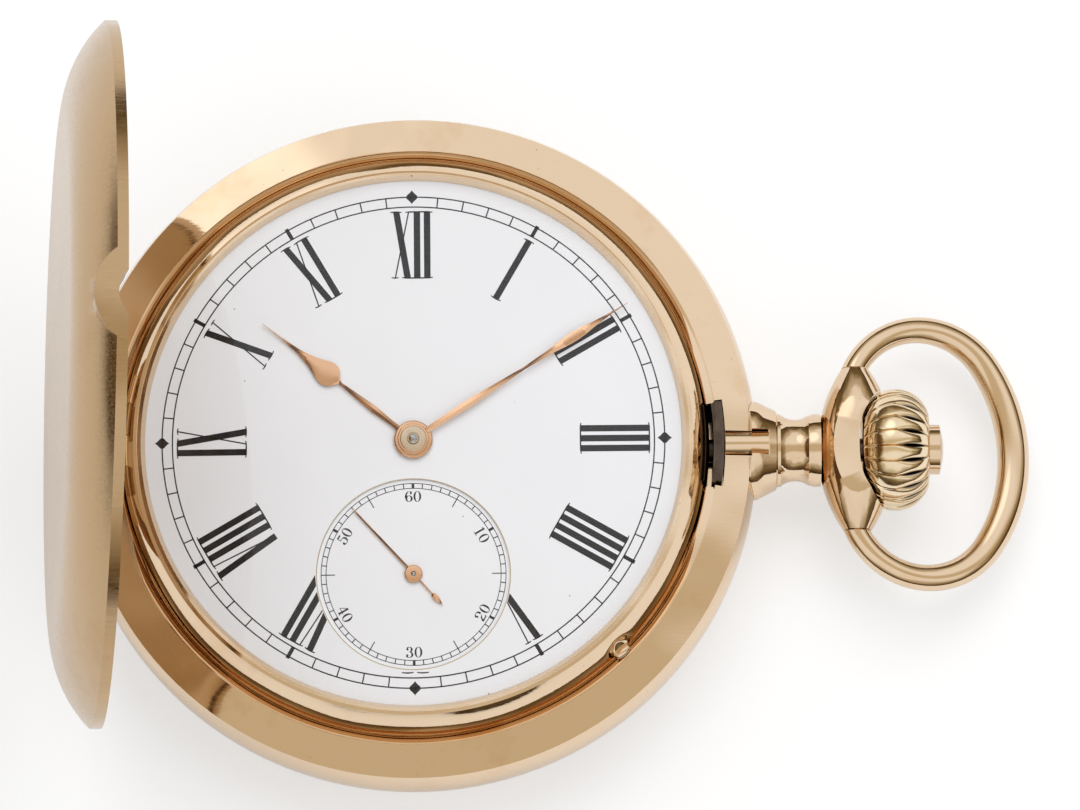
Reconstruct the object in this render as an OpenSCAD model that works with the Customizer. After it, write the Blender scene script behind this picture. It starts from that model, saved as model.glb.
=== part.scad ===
// Full hunter pocket watch with a hinged front lid, shown open, dial side up.
// +Z points out of the dial, +X to the pendant and crown, +Y to twelve o'clock.
// The origin is the middle of the flat back on which the watch lies. Millimetres.

/* [Case] */
// Width of the flange between the groove and the seam line
flange_w = 2.55; // [2.5:0.05:2.9]
// Height of the band between the two lid seams
band_h = 5.6; // [5.6:0.1:6.4]
// How far the rounded band stands out past the seams
band_bulge = 0.55; // [0.2:0.05:0.9]
// Depth of the dished front lid
lid_depth = 3.8; // [3.8:0.1:4.6]
// Depth of the dished back cover
back_depth = 3.8; // [3.8:0.1:4.4]
// Wall of both lids
lid_wall = 0.4; // [0.3:0.05:0.5]
// Radius of the dish where a lid turns into its rim
dish_r = 10; // [9.5:0.1:10.5]
// Width of the round shoulder between the flat middle and the rim
shoulder_w = 7.1; // [6.9:0.05:7.2]
// Width of the thickened lip round a lid
lip_w = 1; // [0.8:0.05:1.2]
// Rise of the conical seat inside the seam
seat_rise = 0.3; // [0.1:0.05:0.35]
// Running gap between a closed lid and its seat
seam_gap = 0.05; // [0.04:0.01:0.1]
// Wall of the inner dust cover
dust_wall = 0.3; // [0.25:0.05:0.35]

/* [Lid hinges] */
// Angle by which the front lid stands open
lid_open = 82.6; // [60:0.1:95]
// Distance of a hinge line inside the seam line
hinge_inset = 0.9; // [0.85:0.01:0.95]
// Radius of the knuckles
knuckle_r = 0.75; // [0.65:0.05:0.8]
// Length of the whole row of knuckles
hinge_len = 13.6; // [13.2:0.1:13.8]
// Radius of the hinge pins
hinge_pin_r = 0.35; // [0.25:0.05:0.4]

/* [Bezel and crystal] */
// Width of the bezel outside the raised rim of the case
bezel_w = 0.8; // [0.75:0.01:0.9]
// Lap of the bezel over the edge of the dial
bezel_lap = 0.28; // [0.2:0.02:0.4]
// Width of the groove outside the bezel
groove_w = 0.65; // [0.5:0.05:0.7]
// Height of the crystal's rim above the dial
crystal_edge = 1.2; // [1.15:0.01:1.25]
// Rise of the crystal's dome
crystal_dome = 0.75; // [0.5:0.05:0.8]
// Thickness of the crystal
crystal_t = 0.4; // [0.3:0.05:0.45]

/* [Dial and hands] */
// Height of the dial above the upper seam
dial_rise = 1.3; // [1.3:0.05:1.5]
// Gap between the dial and the edge of the movement
dial_inset = 0.35; // [0.3:0.01:0.4]
// Thickness of the dial plate
dial_t = 0.7; // [0.6:0.05:0.8]
// Radius of the sunk seconds dial
sub_r = 7.43; // [7:0.05:7.5]
// Distance of the seconds axis below the middle
sub_y = 10.5; // [10.4:0.02:10.6]
// Depth by which the seconds dial is sunk
sub_sink = 0.18; // [0.1:0.02:0.25]
// Length of the minute hand
minute_len = 19.8; // [18:0.1:20.2]
// Length of the hour hand
hour_len = 14.9; // [12:0.1:16]
// Length of the seconds hand
seconds_len = 6.95; // [6:0.05:7.1]
// Thickness of the hour and minute hands
hand_t = 0.18; // [0.12:0.01:0.2]
// Direction of the hour hand, clockwise from twelve
hour_at = -51.5; // [-180:0.5:180]
// Direction of the minute hand
minute_at = 57.1; // [-180:0.1:180]
// Direction of the seconds hand
seconds_at = -42.5; // [-180:0.5:180]

/* [Pendant, crown and bow] */
// Radius of the boss where the pendant leaves the case
boss_r = 3.85; // [3.6:0.05:4]
// Radius of the sharp edge at the end of the boss
boss_edge_r = 3.1; // [2.9:0.05:3.3]
// Radius of the waist of the neck
neck_r = 2.4; // [2.2:0.05:2.6]
// Radius of the collar under the yoke
collar_r = 2.83; // [2.7:0.05:3]
// Length of the boss beyond the seam line
boss_len = 2; // [1.9:0.05:2.2]
// Length from the boss to the waist
waist_len = 1.56; // [1.5:0.02:1.7]
// Length from the waist to the yoke
collar_len = 1.94; // [1.9:0.02:2.1]
// Length from the collar to the pivots of the bow
yoke_len = 2.8; // [2.75:0.05:3]
// Half width over the ears of the yoke
ear_y = 6.4; // [6.3:0.05:6.6]
// Radius of the ears at their ends
ear_r = 1.1; // [1:0.05:1.2]
// Radius of the yoke in the middle
yoke_r = 3.02; // [2.9:0.02:3.1]
// Height of the flat on each side of the yoke above its middle
yoke_flat = 2.4; // [2.3:0.05:2.6]
// Reach of the bow past its pivots, to the middle of its wire
bow_reach = 12.9; // [12:0.1:14]
// Half width of the bow, to the middle of its wire
bow_half = 9.55; // [9.2:0.05:10]
// Radius of the bow's wire
bow_wire_r = 1.1; // [0.9:0.05:1.2]
// Angle by which the bow hangs below level
bow_droop = 15; // [0:0.5:20]
// Radius of the bends at the sides of the bow
bow_side_r = 6.2; // [5.8:0.1:6.4]
// Largest radius of the crown
crown_r = 4.75; // [4.4:0.05:5]
// Length of the crown
crown_len = 5.15; // [5:0.05:5.2]
// Flutes round the crown
flutes = 24; // [16:1:30]
// Radius of the push button in the crown
button_r = 1.95; // [1.6:0.05:2]
// How far the button stands out of the crown
button_out = 1.2; // [1:0.05:1.5]
// Radius of the push rod on top of the boss
rod_r = 0.95; // [0.8:0.05:1]
// Stroke of the button
press = 0.8; // [0.5:0.05:0.9]

/* [Movement] */
// Radius of the main plate
plate_r = 21.35; // [21.3:0.05:21.6]
// Thickness of the main plate
plate_t = 1.8; // [1.6:0.05:1.9]
// Thickness of the bridges
bridge_t = 1.2; // [1:0.05:1.3]
// Gear size of the barrel and the centre pinion
mod_barrel = 0.2; // [0.19:0.002:0.202]
// Gear size of the centre wheel and the third pinion
mod_centre = 0.16; // [0.158:0.001:0.162]
// Gear size of the third wheel and the fourth pinion
mod_third = 0.15; // [0.148:0.001:0.152]
// Gear size of the fourth wheel and the escape pinion
mod_fourth = 0.11; // [0.108:0.001:0.112]
// Outer radius of the escape wheel
escape_r = 2.6; // [2.4:0.05:2.6]
// Outer radius of the balance ring
balance_r = 5.9; // [5.5:0.05:6]
// Coils of the hairspring, in half turns
hair_halves = 12; // [8:1:12]
// Coils of the mainspring, in half turns
main_halves = 14; // [10:1:16]

/* [Hidden] */
$fn = 96;
// Clearances
fit = 0.03;
slack = 0.1;
// Levels
back_seam = back_depth;
seam = back_seam + band_h;
axis_z = back_seam + band_h / 2;
dial_z = seam + dial_rise;
plate_top = dial_z - dial_t - 1;
plate_z = plate_top - plate_t;
bridge_z = plate_z - 3;
bridge_low = bridge_z - bridge_t;
// Radii inside the case
bore_r = plate_r + slack;
rim_out = bore_r + 0.65;
bezel_r = rim_out + bezel_w;
seat_in = bezel_r + groove_w;
case_r = seat_in + flange_w;
hinge_r = case_r - hinge_inset;
flat_r = case_r - shoulder_w;
ledge_r = bore_r - 0.55;
dial_r = plate_r - dial_inset;
rehaut_r = dial_r - bezel_lap;
case_screw_at = ledge_r - 0.7;
groove_z = seam - 0.6;
rim_top = dial_z - dial_t;
dust_r = seat_in - 0.25;
dust_lip = 0.58;
dust_flat = dust_r - 6.3;
dust_dish = 9;
// Steel parts inside the band
channel_low = back_seam + 1.4;
channel_r = case_r - 0.9;
channel_top = seam - 1.1;
spring_z = channel_low + slack;
spring_h = 1.1;
catch_in = bezel_r + 0.35;
catch_out = catch_in + 0.8;
catch_arc = 7.6;
catch_up = 0.95;
lock_screw_at = -50;
lift_screw_at = 105;
// Hinge rows
knuckles = 5;
knuckle_w = hinge_len / knuckles;
// Pendant, rod, crown and button
boss_x = case_r + boss_len;
neck_x = boss_x + waist_len;
collar_x = neck_x + collar_len;
bow_x = collar_x + yoke_len;
root_r = 1.9;
rod_low = seam - 0.45;
rod_z = rod_low + 0.1;
rod_x = catch_out + slack;
rod_len = boss_x - rod_x - 0.6;
notch_r = 2.2;
notch_z = rod_z - seam + rod_r + 0.12 - notch_r;
collar_w = 1.75;
crown_x = bow_x + 0.45;
crown_swell = 2.7;
crown_deep = crown_r - crown_swell;
crown_mid = crown_x + 2.6;
button_x = crown_x + crown_len;
stem_r = 0.9;
stem_in = 14.2;
stem_start = ledge_r - 2.3;
pinion_len = 3.6;
pinion_face = 1.3;
// Crystal
crystal_r = rehaut_r + 0.61;
crystal_z = dial_z + crystal_edge;
seat_z = crystal_z - crystal_t - 0.07;
dome_r = (crystal_r * crystal_r) / (2 * crystal_dome) + crystal_dome / 2;
// Hand levels
hour_z = dial_z + 0.25;
minute_z = dial_z + 0.54;
sub_top = dial_z - sub_sink;
seconds_z = sub_top + 0.2;
seconds_t = 0.12;
arbor_top = dial_z + 0.95;
// Teeth
barrel_n = 80;
centre_n = 80;
third_n = 75;
fourth_n = 80;
pinion_n = 10;
escape_pinion_n = 8;
escape_n = 15;
cannon_n = 12;
minute_wheel_n = 36;
minute_pinion_n = 10;
hour_wheel_n = 40;
mod_motion = 0.14;
mod_hour = mod_motion * (cannon_n + minute_wheel_n) / (minute_pinion_n + hour_wheel_n);
// Centres of the train
barrel_at = 45;
barrel_d = mod_barrel * (barrel_n + pinion_n) / 2;
barrel_p = barrel_d * [cos(barrel_at), sin(barrel_at)];
third_a = mod_centre * (centre_n + pinion_n) / 2;
third_b = mod_third * (third_n + pinion_n) / 2;
third_y = -(third_a * third_a - third_b * third_b + sub_y * sub_y) / (2 * sub_y);
third_p = [-sqrt(third_a * third_a - third_y * third_y), third_y];
fourth_p = [0, -sub_y];
escape_at = -20;
escape_d = mod_fourth * (fourth_n + escape_pinion_n) / 2;
escape_p = fourth_p + escape_d * [cos(escape_at), sin(escape_at)];
balance_p = [12, -7.5];
balance_dir = atan2(balance_p[1] - escape_p[1], balance_p[0] - escape_p[0]);
pallet_p = escape_p + 3.4 * [cos(balance_dir), sin(balance_dir)];
minute_wheel_at = 20;
minute_wheel_d = mod_motion * (cannon_n + minute_wheel_n) / 2;
minute_wheel_p = minute_wheel_d * [cos(minute_wheel_at), sin(minute_wheel_at)];
// Winding wheels
ratchet_n = 64;
crown_wheel_n = 30;
mod_wind = 0.22;
wind_d = mod_wind * (ratchet_n + crown_wheel_n) / 2;
crown_wheel_dir = -25;
crown_wheel_p = barrel_p + wind_d * [cos(crown_wheel_dir), sin(crown_wheel_dir)];
wind_pinion_n = 12;
wind_t = 0.46;
wind_z = bridge_z - wind_t - 0.02;
wind_pinion_r = axis_z - bridge_z - 0.05;
// Heights in the train
barrel_z = bridge_z + 0.15;
barrel_h = 2;
drum_r = mod_barrel * (barrel_n / 2 - 1.6);
great_z = barrel_z + barrel_h - 0.5;
great_t = 0.4;
centre_wheel_z = barrel_z + barrel_h + 0.22;
wheel_t = 0.28;
third_wheel_z = bridge_z + 0.3;
fourth_wheel_z = bridge_z + 1.1;
escape_z = bridge_z + 1.9;
balance_z = bridge_z + 0.2;
cock_z = bridge_low - 0.4;
cock_t = 0.9;
pivot_r = 0.14;
jewel_r = 0.75;
jewel_t = 0.4;
post_r = 1.5;
screw_r = 0.95;
shank_r = 0.4;
barrel_posts = [[-13, 13], [4.8, 17.8], [17.6, 5.4]];
train_posts = [[-18.1, -3.2], [-6.3, -17.3], [0, -18.4]];
cock_foot = [8.6, -16.9];
pallet_bridge_dir = -50;
click_dir = 120;
click_p = barrel_p + (mod_wind * (ratchet_n / 2 + 0.6) + 1.1) * [cos(click_dir), sin(click_dir)];
third_dir = atan2(third_p[1], third_p[0]);
fourth_dir = atan2(fourth_p[1] - third_p[1], fourth_p[0] - third_p[0]);

// Shared shapes

// A bar along X from x0 to x1
module bar_x(r, x0, x1, y = 0, z = axis_z) {
    translate([x0, y, z]) rotate([0, 90, 0]) cylinder(r = r, h = x1 - x0);
}

// A bar along Y from y0 to y1
module bar_y(r, y0, y1, x = 0, z = 0) {
    translate([x, y0, z]) rotate([-90, 0, 0]) cylinder(r = r, h = y1 - y0);
}

// A box given by two opposite corners
module block(a, b) {
    translate(a) cube(b - a);
}

// A ring sector with a rectangular section
module sector(r0, r1, z0, z1, from, to) {
    rotate([0, 0, from]) rotate_extrude(angle = to - from)
        translate([r0, z0]) square([r1 - r0, z1 - z0]);
}

// A toothed disc: tips 0.6 and roots 0.9 of the gear size from the pitch line
module gear(n, size, h, at = 0, thick = 0.42) {
    pitch = 360 / n;
    root = size * (n / 2 - 0.9);
    tip = size * (n / 2 + 0.6);
    foot = pitch * (thick + 0.14) / 2;
    head = pitch * (thick - 0.2) / 2;
    linear_extrude(h) polygon([for (i = [0:n - 1]) let (a = at + i * pitch)
        for (p = [[root, -foot], [tip, -head], [tip, head], [root, foot]])
            p[0] * [cos(a + p[1]), sin(a + p[1])]]);
}

// Angle at which a pinion has a gap facing a wheel tooth that points along dir
function facing(dir, n) = dir + 180 + 180 / n;

// Crossings cut out of a wheel, leaving arms
module crossings(hub, rim, h, arms, arm_w) {
    difference() {
        cylinder(r = rim, h = h);
        cylinder(r = hub, h = h);
        for (i = [0:arms - 1]) rotate([0, 0, i * 360 / arms])
            translate([0, -arm_w / 2, 0]) cube([rim, arm_w, h]);
    }
}

// An arbor with a thinner pivot at each end
module arbor(r, z0, z1, low, high) {
    translate([0, 0, z0]) cylinder(r = r, h = z1 - z0);
    translate([0, 0, low]) cylinder(r = pivot_r, h = high - low);
}

// A slotted screw with its head at z, pointing up
module screw(p, z, head, head_h, shank, shank_h, turn = 0) {
    translate([p[0], p[1], z]) rotate([0, 0, turn]) difference() {
        union() {
            cylinder(r = head, h = head_h);
            translate([0, 0, head_h]) cylinder(r = shank, h = shank_h);
        }
        translate([-head, -0.11, -0.01]) cube([2 * head, 0.22, 0.2]);
    }
}

// Lids

// Dished profile: a rim lip, a round shoulder and a flat middle
module dish_2d(depth, wall) {
    mid = depth - dish_r;
    difference() {
        intersection() {
            union() {
                translate([flat_r, mid]) circle(r = dish_r, $fn = 180);
                square([flat_r, depth]);
            }
            square([case_r, depth]);
        }
        intersection() {
            union() {
                translate([flat_r, mid]) circle(r = dish_r - wall, $fn = 180);
                translate([0, -1]) square([flat_r, depth - wall + 1]);
            }
            translate([0, -1]) square([case_r - lip_w, depth + 1]);
        }
    }
}

// The conical seat, which the lip follows
module lip_seat_2d(gap = seam_gap) {
    run = case_r - seat_in;
    polygon([[case_r + run, -seat_rise + gap], [seat_in, seat_rise + gap],
        [seat_in, -1], [case_r + run, -1]]);
}

// Knuckles of a hinge row along Y: the odd or the even ones
module hinge_row(first, r, gap) {
    for (i = [first:2:knuckles - 1])
        bar_y(r, -hinge_len / 2 + i * knuckle_w + gap, -hinge_len / 2 + (i + 1) * knuckle_w - gap);
}

// A lid as it lies shut on a seam at z = 0, domed upwards
module lid_shut(depth) {
    difference() {
        union() {
            difference() {
                union() {
                    difference() {
                        rotate_extrude($fn = 180) dish_2d(depth, lid_wall);
                        block([-case_r - 1, -hinge_len / 2 - fit, -1],
                            [-hinge_r, hinge_len / 2 + fit, depth]);
                    }
                    for (i = [1:2:knuckles - 1]) translate([-hinge_r, 0, 0])
                        block([-0.3, -hinge_len / 2 + i * knuckle_w + fit, 0],
                            [lip_w, -hinge_len / 2 + (i + 1) * knuckle_w - fit, 1.5]);
                }
                rotate_extrude($fn = 180) lip_seat_2d();
            }
            translate([-hinge_r, 0, 0]) hinge_row(1, knuckle_r, fit);
        }
        translate([-hinge_r, 0, 0]) {
            hinge_row(0, knuckle_r + 2 * fit, -fit);
            bar_y(hinge_pin_r + fit, -hinge_len, hinge_len);
        }
    }
}

// Front lid with the arched and collared notch that clears the pendant
module front_lid() {
    color([0.78, 0.62, 0.44])
    translate([-hinge_r, 0, seam]) rotate([0, -lid_open, 0]) translate([hinge_r, 0, 0])
    difference() {
        union() {
            lid_shut(lid_depth);
            difference() {
                intersection() {
                    bar_x(notch_r + collar_w, seat_in + 0.5, case_r + slack, 0, notch_z);
                    cylinder(r = case_r + slack, h = lid_depth);
                }
                rotate_extrude($fn = 180) lip_seat_2d(seam_gap + 0.03);
            }
        }
        bar_x(notch_r, seat_in - 2, case_r + 1, 0, notch_z);
    }
}

module back_cover() {
    color([0.76, 0.6, 0.42])
    translate([0, 0, back_seam]) mirror([0, 0, 1]) lid_shut(back_depth);
}

module hinge_pin(z) {
    color([0.7, 0.53, 0.35])
    bar_y(hinge_pin_r, -hinge_len / 2, hinge_len / 2, -hinge_r, z);
}

// Dust cover under the back, snapped into the band
module cuvette() {
    color([0.78, 0.62, 0.44])
    rotate_extrude($fn = 180) difference() {
        union() {
            intersection() {
                union() {
                    translate([dust_flat, back_seam + dust_dish - 2.85]) circle(r = dust_dish, $fn = 180);
                    translate([0, back_seam - 2.85]) square([dust_flat, 4]);
                }
                translate([0, back_seam - 2.85]) square([dust_r, 2.85 - seam_gap]);
            }
            translate([dust_r - 0.75, back_seam - 0.28]) square([0.75, dust_lip + 0.28]);
        }
        intersection() {
            union() {
                translate([dust_flat, back_seam + dust_dish - 2.85])
                    circle(r = dust_dish - dust_wall, $fn = 180);
                translate([0, back_seam - 2.85 + dust_wall]) square([dust_flat, 5]);
            }
            translate([0, back_seam - 2.85 + dust_wall]) square([dust_r - 0.75, 5]);
        }
    }
}

// Band

// Rounded outer face of the band, grown by g
module band_2d(g = 0) {
    half = band_h / 2;
    arc = (half * half + band_bulge * band_bulge) / (2 * band_bulge);
    intersection() {
        translate([case_r + band_bulge - arc, axis_z]) circle(r = arc + g, $fn = 240);
        translate([ledge_r + 0.4, back_seam]) square([10, band_h]);
    }
}

module case_middle_2d() {
    difference() {
        union() {
            band_2d();
            translate([ledge_r, back_seam]) square([case_r - ledge_r, band_h]);
            polygon([[seat_in, back_seam + 0.1], [case_r, back_seam + 0.1], [case_r, back_seam],
                [seat_in, back_seam - seat_rise]]);
            polygon([[seat_in, seam - 0.1], [case_r, seam - 0.1], [case_r, seam],
                [seat_in, seam + seat_rise]]);
            translate([bore_r, seam - 1]) square([rim_out - bore_r, rim_top - seam + 1]);
        }
        // dust cover rabbet, movement bore
        translate([0, back_seam - 0.1]) square([dust_r + fit, dust_lip + 0.12]);
        translate([0, plate_z]) square([bore_r, 6]);
        // groove beside the bezel
        translate([rim_out, groove_z]) square([seat_in - rim_out, 2]);
        // channel for the springs
        translate([rim_out, channel_low]) square([channel_r - rim_out, channel_top - channel_low]);
        translate([ledge_r - 1, channel_low]) square([4, spring_h + 2 * slack]);
    }
}

module case_middle() {
    color([0.8, 0.64, 0.46])
    difference() {
        union() {
            difference() {
                rotate_extrude($fn = 180) case_middle_2d();
                for (z = [seam, back_seam]) translate([-hinge_r, 0, z])
                    hinge_row(1, knuckle_r + 2 * fit, -fit);
                // room for the swing of the lid beside its knuckles
                hinge_relief(seam, 1);
                hinge_relief(back_seam, -1);
            }
            for (z = [seam, back_seam]) translate([-hinge_r, 0, z]) hinge_row(0, knuckle_r, fit);
        }
        for (z = [seam, back_seam])
            bar_y(hinge_pin_r + 0.005, -hinge_len / 2 - 0.01, hinge_len / 2 + 0.01, -hinge_r, z);
        // slot for the catch
        sector(catch_in - 0.4, catch_out + slack, channel_top - 0.5, seam + 3,
            -catch_arc - 0.6, catch_arc + 0.6);
        // slot for the finger of the lift spring
        sector(catch_in, catch_out + slack, channel_top - 0.5, seam + 3, 171, 175);
        // pendant root, winding stem, push rod
        bar_x(root_r + 0.02, channel_r - 0.2, case_r + 1);
        bar_x(stem_r + slack, ledge_r - 1, case_r);
        block([catch_in, -rod_r - fit, rod_low - fit], [case_r + 1, rod_r + fit, rod_low + 3]);
        // threads of the two spring screws
        for (a = [lock_screw_at, lift_screw_at]) rotate([0, 0, a])
            translate([catch_in + 0.35, 0, back_seam + 0.7]) cylinder(r = shank_r, h = 1);
    }
}

// Clears the flange outboard of a hinge line for the moving knuckles only
module hinge_relief(z, up) {
    for (i = [1:2:knuckles - 1]) translate([-hinge_r, -hinge_len / 2 + i * knuckle_w - fit, z])
        block([-2, 0, up > 0 ? -0.32 : -2], [0, knuckle_w + 2 * fit, up > 0 ? 2 : 0.32]);
}

// Bezel and crystal

module bezel() {
    low = groove_z + seam_gap;
    color([0.8, 0.64, 0.46]) union() {
        rotate_extrude($fn = 180)
            polygon([[bezel_r, low], [bezel_r, low + 0.85], [bezel_r - 0.25, low + 1.35],
                [crystal_r + 0.3, crystal_z - 0.02], [crystal_r + 0.02, crystal_z],
                [crystal_r + 0.02, seat_z], [rehaut_r + 0.33, seat_z], [rehaut_r, dial_z + 0.06],
                [bore_r - 0.3, dial_z + 0.06], [bore_r - 0.3, rim_top + 0.05],
                [rim_out + 0.04, rim_top + 0.05], [rim_out + 0.04, low]]);
        // tab for lifting the bezel, between four and five o'clock
        rotate([0, 0, -45.6]) block([bezel_r - 0.3, -0.45, low + 0.2], [bezel_r + 0.5, 0.45, low + 0.55]);
    }
}

module crystal() {
    color([0.85, 0.92, 0.95, 0.35])
    rotate_extrude($fn = 180) intersection() {
        difference() {
            translate([0, crystal_z - 0.05 + crystal_dome - dome_r]) circle(r = dome_r, $fn = 720);
            translate([0, crystal_z - 0.05 + crystal_dome - dome_r - crystal_t])
                circle(r = dome_r, $fn = 720);
        }
        translate([0, crystal_z - 1]) square([crystal_r, 4]);
    }
}

// Pendant, bow and crown

module pendant() {
    color([0.8, 0.64, 0.46])
    difference() {
        union() {
            difference() {
                translate([0, 0, axis_z]) rotate([0, 90, 0]) rotate_extrude() difference() {
                    polygon([[0, case_r - 2], [boss_r, case_r - 2], [boss_r, case_r + 0.5],
                        [boss_edge_r, boss_x], [boss_edge_r - 0.25, boss_x + 0.12],
                        [collar_r - 0.1, collar_x - 0.82], [collar_r, collar_x - 0.6], [collar_r, collar_x],
                        [0, collar_x]]);
                    translate([neck_r + 1.75, neck_x - 0.05]) circle(r = 1.75);
                }
                rotate_extrude($fn = 180) band_2d(0.01);
                translate([0, 0, seam - 0.01]) cylinder(r = case_r + slack + 0.01, h = 5);
                translate([0, 0, -1]) cylinder(r = case_r + slack, h = back_seam + 1);
            }
            bar_x(root_r, channel_r, case_r + 1);
        }
        bar_x(stem_r + fit, case_r - 3, collar_x + 1);
        block([case_r - 1, -rod_r - fit, rod_low - fit],
            [rod_x + rod_len + slack, rod_r + fit, rod_low + 4]);
    }
}

// Turned yoke whose ears carry the bow, flattened above and below and hollowed for the crown
module bow_yoke() {
    arc = (yoke_r - ear_r) / 2 + ear_y * ear_y / (2 * (yoke_r - ear_r));
    color([0.8, 0.64, 0.46])
    difference() {
        intersection() {
            translate([bow_x, 0, axis_z]) rotate([-90, 0, 0]) rotate_extrude() intersection() {
                translate([yoke_r - arc, 0]) circle(r = arc, $fn = 240);
                translate([0, -ear_y]) square([yoke_r + 1, 2 * ear_y]);
            }
            block([collar_x, -ear_y - 1, axis_z - yoke_flat], [bow_x + 4, ear_y + 1, axis_z + yoke_flat]);
        }
        translate([0, 0, axis_z]) rotate([0, 90, 0]) rotate_extrude() intersection() {
            union() {
                translate([crown_deep, crown_mid]) circle(r = crown_swell + 2 * slack, $fn = 120);
                translate([0, crown_mid - crown_swell - slack]) square([crown_deep, crown_swell]);
            }
            translate([0, crown_x - 1]) square([crown_r + 1, crown_len + 2]);
        }
        bar_x(stem_r + fit, collar_x - 1, bow_x + 3);
        for (s = [-1, 1]) scale([1, s, 1])
            bar_y(0.5, 3, ear_y + 1, bow_x, axis_z);
    }
}

// Oval bow: a wide arc at the end and a tighter one at each side, which runs into the ear
module bow() {
    foot = ear_y + slack;
    side = bow_side_r;
    c2 = [sqrt(side * side - (foot - bow_half + side) * (foot - bow_half + side)), bow_half - side];
    turn = 2 * atan((bow_reach - side - c2[0]) / c2[1]);
    wide = side + c2[1] / sin(turn);
    last = acos(-c2[0] / side) + 8;
    color([0.8, 0.64, 0.46])
    translate([bow_x, 0, axis_z]) rotate([0, bow_droop, 0]) difference() {
        union() {
            translate([bow_reach - wide, 0, 0]) rotate([0, 0, -turn]) rotate_extrude(angle = 2 * turn)
                translate([wide, 0]) circle(r = bow_wire_r + 0.02, $fn = 48);
            for (s = [0, 1]) mirror([0, s, 0])
                translate([c2[0], c2[1], 0]) rotate([0, 0, turn - 0.8])
                    rotate_extrude(angle = last - turn + 0.8) translate([side, 0])
                        circle(r = bow_wire_r, $fn = 48);
        }
        for (s = [0, 1]) mirror([0, s, 0]) {
            bar_y(0.5, 3, foot + 0.9);
            block([-3, ear_y - 3, -2], [3, foot, 2]);
        }
    }
}

// Pivot screw of the bow, from inside the ear
module bow_screw(side) {
    color([0.75, 0.58, 0.4]) mirror([0, side, 0])
        bar_y(0.47, 3.6, ear_y + 0.8, bow_x, axis_z);
}

// Round crown with fine flutes that run over its whole profile
module crown() {
    color([0.8, 0.64, 0.46])
    difference() {
        translate([0, 0, axis_z]) rotate([0, 90, 0]) rotate_extrude() difference() {
            intersection() {
                union() {
                    translate([crown_deep, crown_mid]) circle(r = crown_swell, $fn = 120);
                    translate([0, crown_x - 1]) square([crown_deep, crown_len + 2]);
                }
                translate([0, crown_x]) square([crown_r + 1, crown_len]);
            }
            translate([0, crown_x - 1]) square([stem_r + 0.01, 3.4]);
            translate([0, crown_x + 3]) square([1.25, 4]);
            translate([0, crown_x + crown_len - press - 0.25]) square([button_r + 0.05, 2]);
        }
        translate([crown_mid, 0, axis_z]) for (i = [0:flutes - 1]) rotate([(i + 0.5) * 360 / flutes, 0, 0])
            translate([0, 0, crown_deep]) rotate([90, 0, 0]) rotate_extrude(angle = 180, $fn = 64)
                translate([crown_swell + 0.1, 0]) circle(r = 0.28, $fn = 16);
    }
}

module crown_button() {
    color([0.8, 0.64, 0.46])
    translate([0, 0, axis_z]) rotate([0, 90, 0]) rotate_extrude() intersection() {
        union() {
            translate([0, button_x]) square([button_r, button_out]);
            translate([0, button_x - 0.22]) square([button_r, 0.3]);
            translate([0, crown_x + 3 + press + 0.1]) square([1.2, 2]);
        }
        translate([0, button_x + button_out - 6]) circle(r = 6, $fn = 160);
    }
}

module push_rod() {
    color([0.72, 0.56, 0.4])
    intersection() {
        bar_x(rod_r, rod_x, rod_x + rod_len, 0, rod_z);
        block([rod_x - 1, -2, rod_low], [boss_x, 2, rod_low + 3]);
    }
}

module winding_stem() {
    color([0.55, 0.56, 0.6]) union() {
        bar_x(stem_r, stem_start, crown_x + 2.35);
        translate([stem_in + 0.1, -0.5, axis_z - 0.5]) cube([stem_start - stem_in, 1, 1]);
    }
}

// Winding pinion with its face and its ring of teeth
module winding_pinion() {
    tooth = 360 / wind_pinion_n;
    color([0.6, 0.6, 0.62])
    translate([stem_in, 0, axis_z]) rotate([0, 90, 0]) difference() {
        union() {
            cylinder(r = wind_pinion_r - 0.45, h = pinion_len);
            linear_extrude(pinion_face) polygon([for (i = [0:wind_pinion_n - 1])
                for (p = [[-0.28, 1.8], [-0.13, wind_pinion_r], [0.13, wind_pinion_r], [0.28, 1.8]])
                    p[1] * [cos((i + p[0]) * tooth), sin((i + p[0]) * tooth)]]);
        }
        translate([-0.52, -0.52, -1]) cube([1.04, 1.04, pinion_len + 2]);
    }
}

// Springs in the band

// Curved steel spring whose hooked head stands up beside the bezel
module lock_spring() {
    color([0.25, 0.24, 0.25]) difference() {
        union() {
            sector(catch_in + 0.04, catch_in + 0.4, spring_z + 0.04, spring_z + spring_h - 0.04,
                lock_screw_at + 2, -2);
            rotate([0, 0, lock_screw_at]) translate([catch_in + 0.35, 0, spring_z])
                cylinder(r = 1.3, h = spring_h);
            rotate([0, 0, -catch_arc]) rotate_extrude(angle = 2 * catch_arc) polygon([
                [catch_in, spring_z], [catch_out, spring_z], [catch_out, seam + catch_up],
                [catch_in + 0.15, seam + catch_up], [catch_in + 0.15, seam + 0.45], [catch_in, seam + 0.4]]);
        }
        rotate([0, 0, lock_screw_at]) translate([catch_in + 0.35, 0, spring_z - 1])
            cylinder(r = shank_r + fit, h = 4);
        bar_x(stem_r + 0.25, catch_in - 1, catch_out + 1);
    }
}

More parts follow.
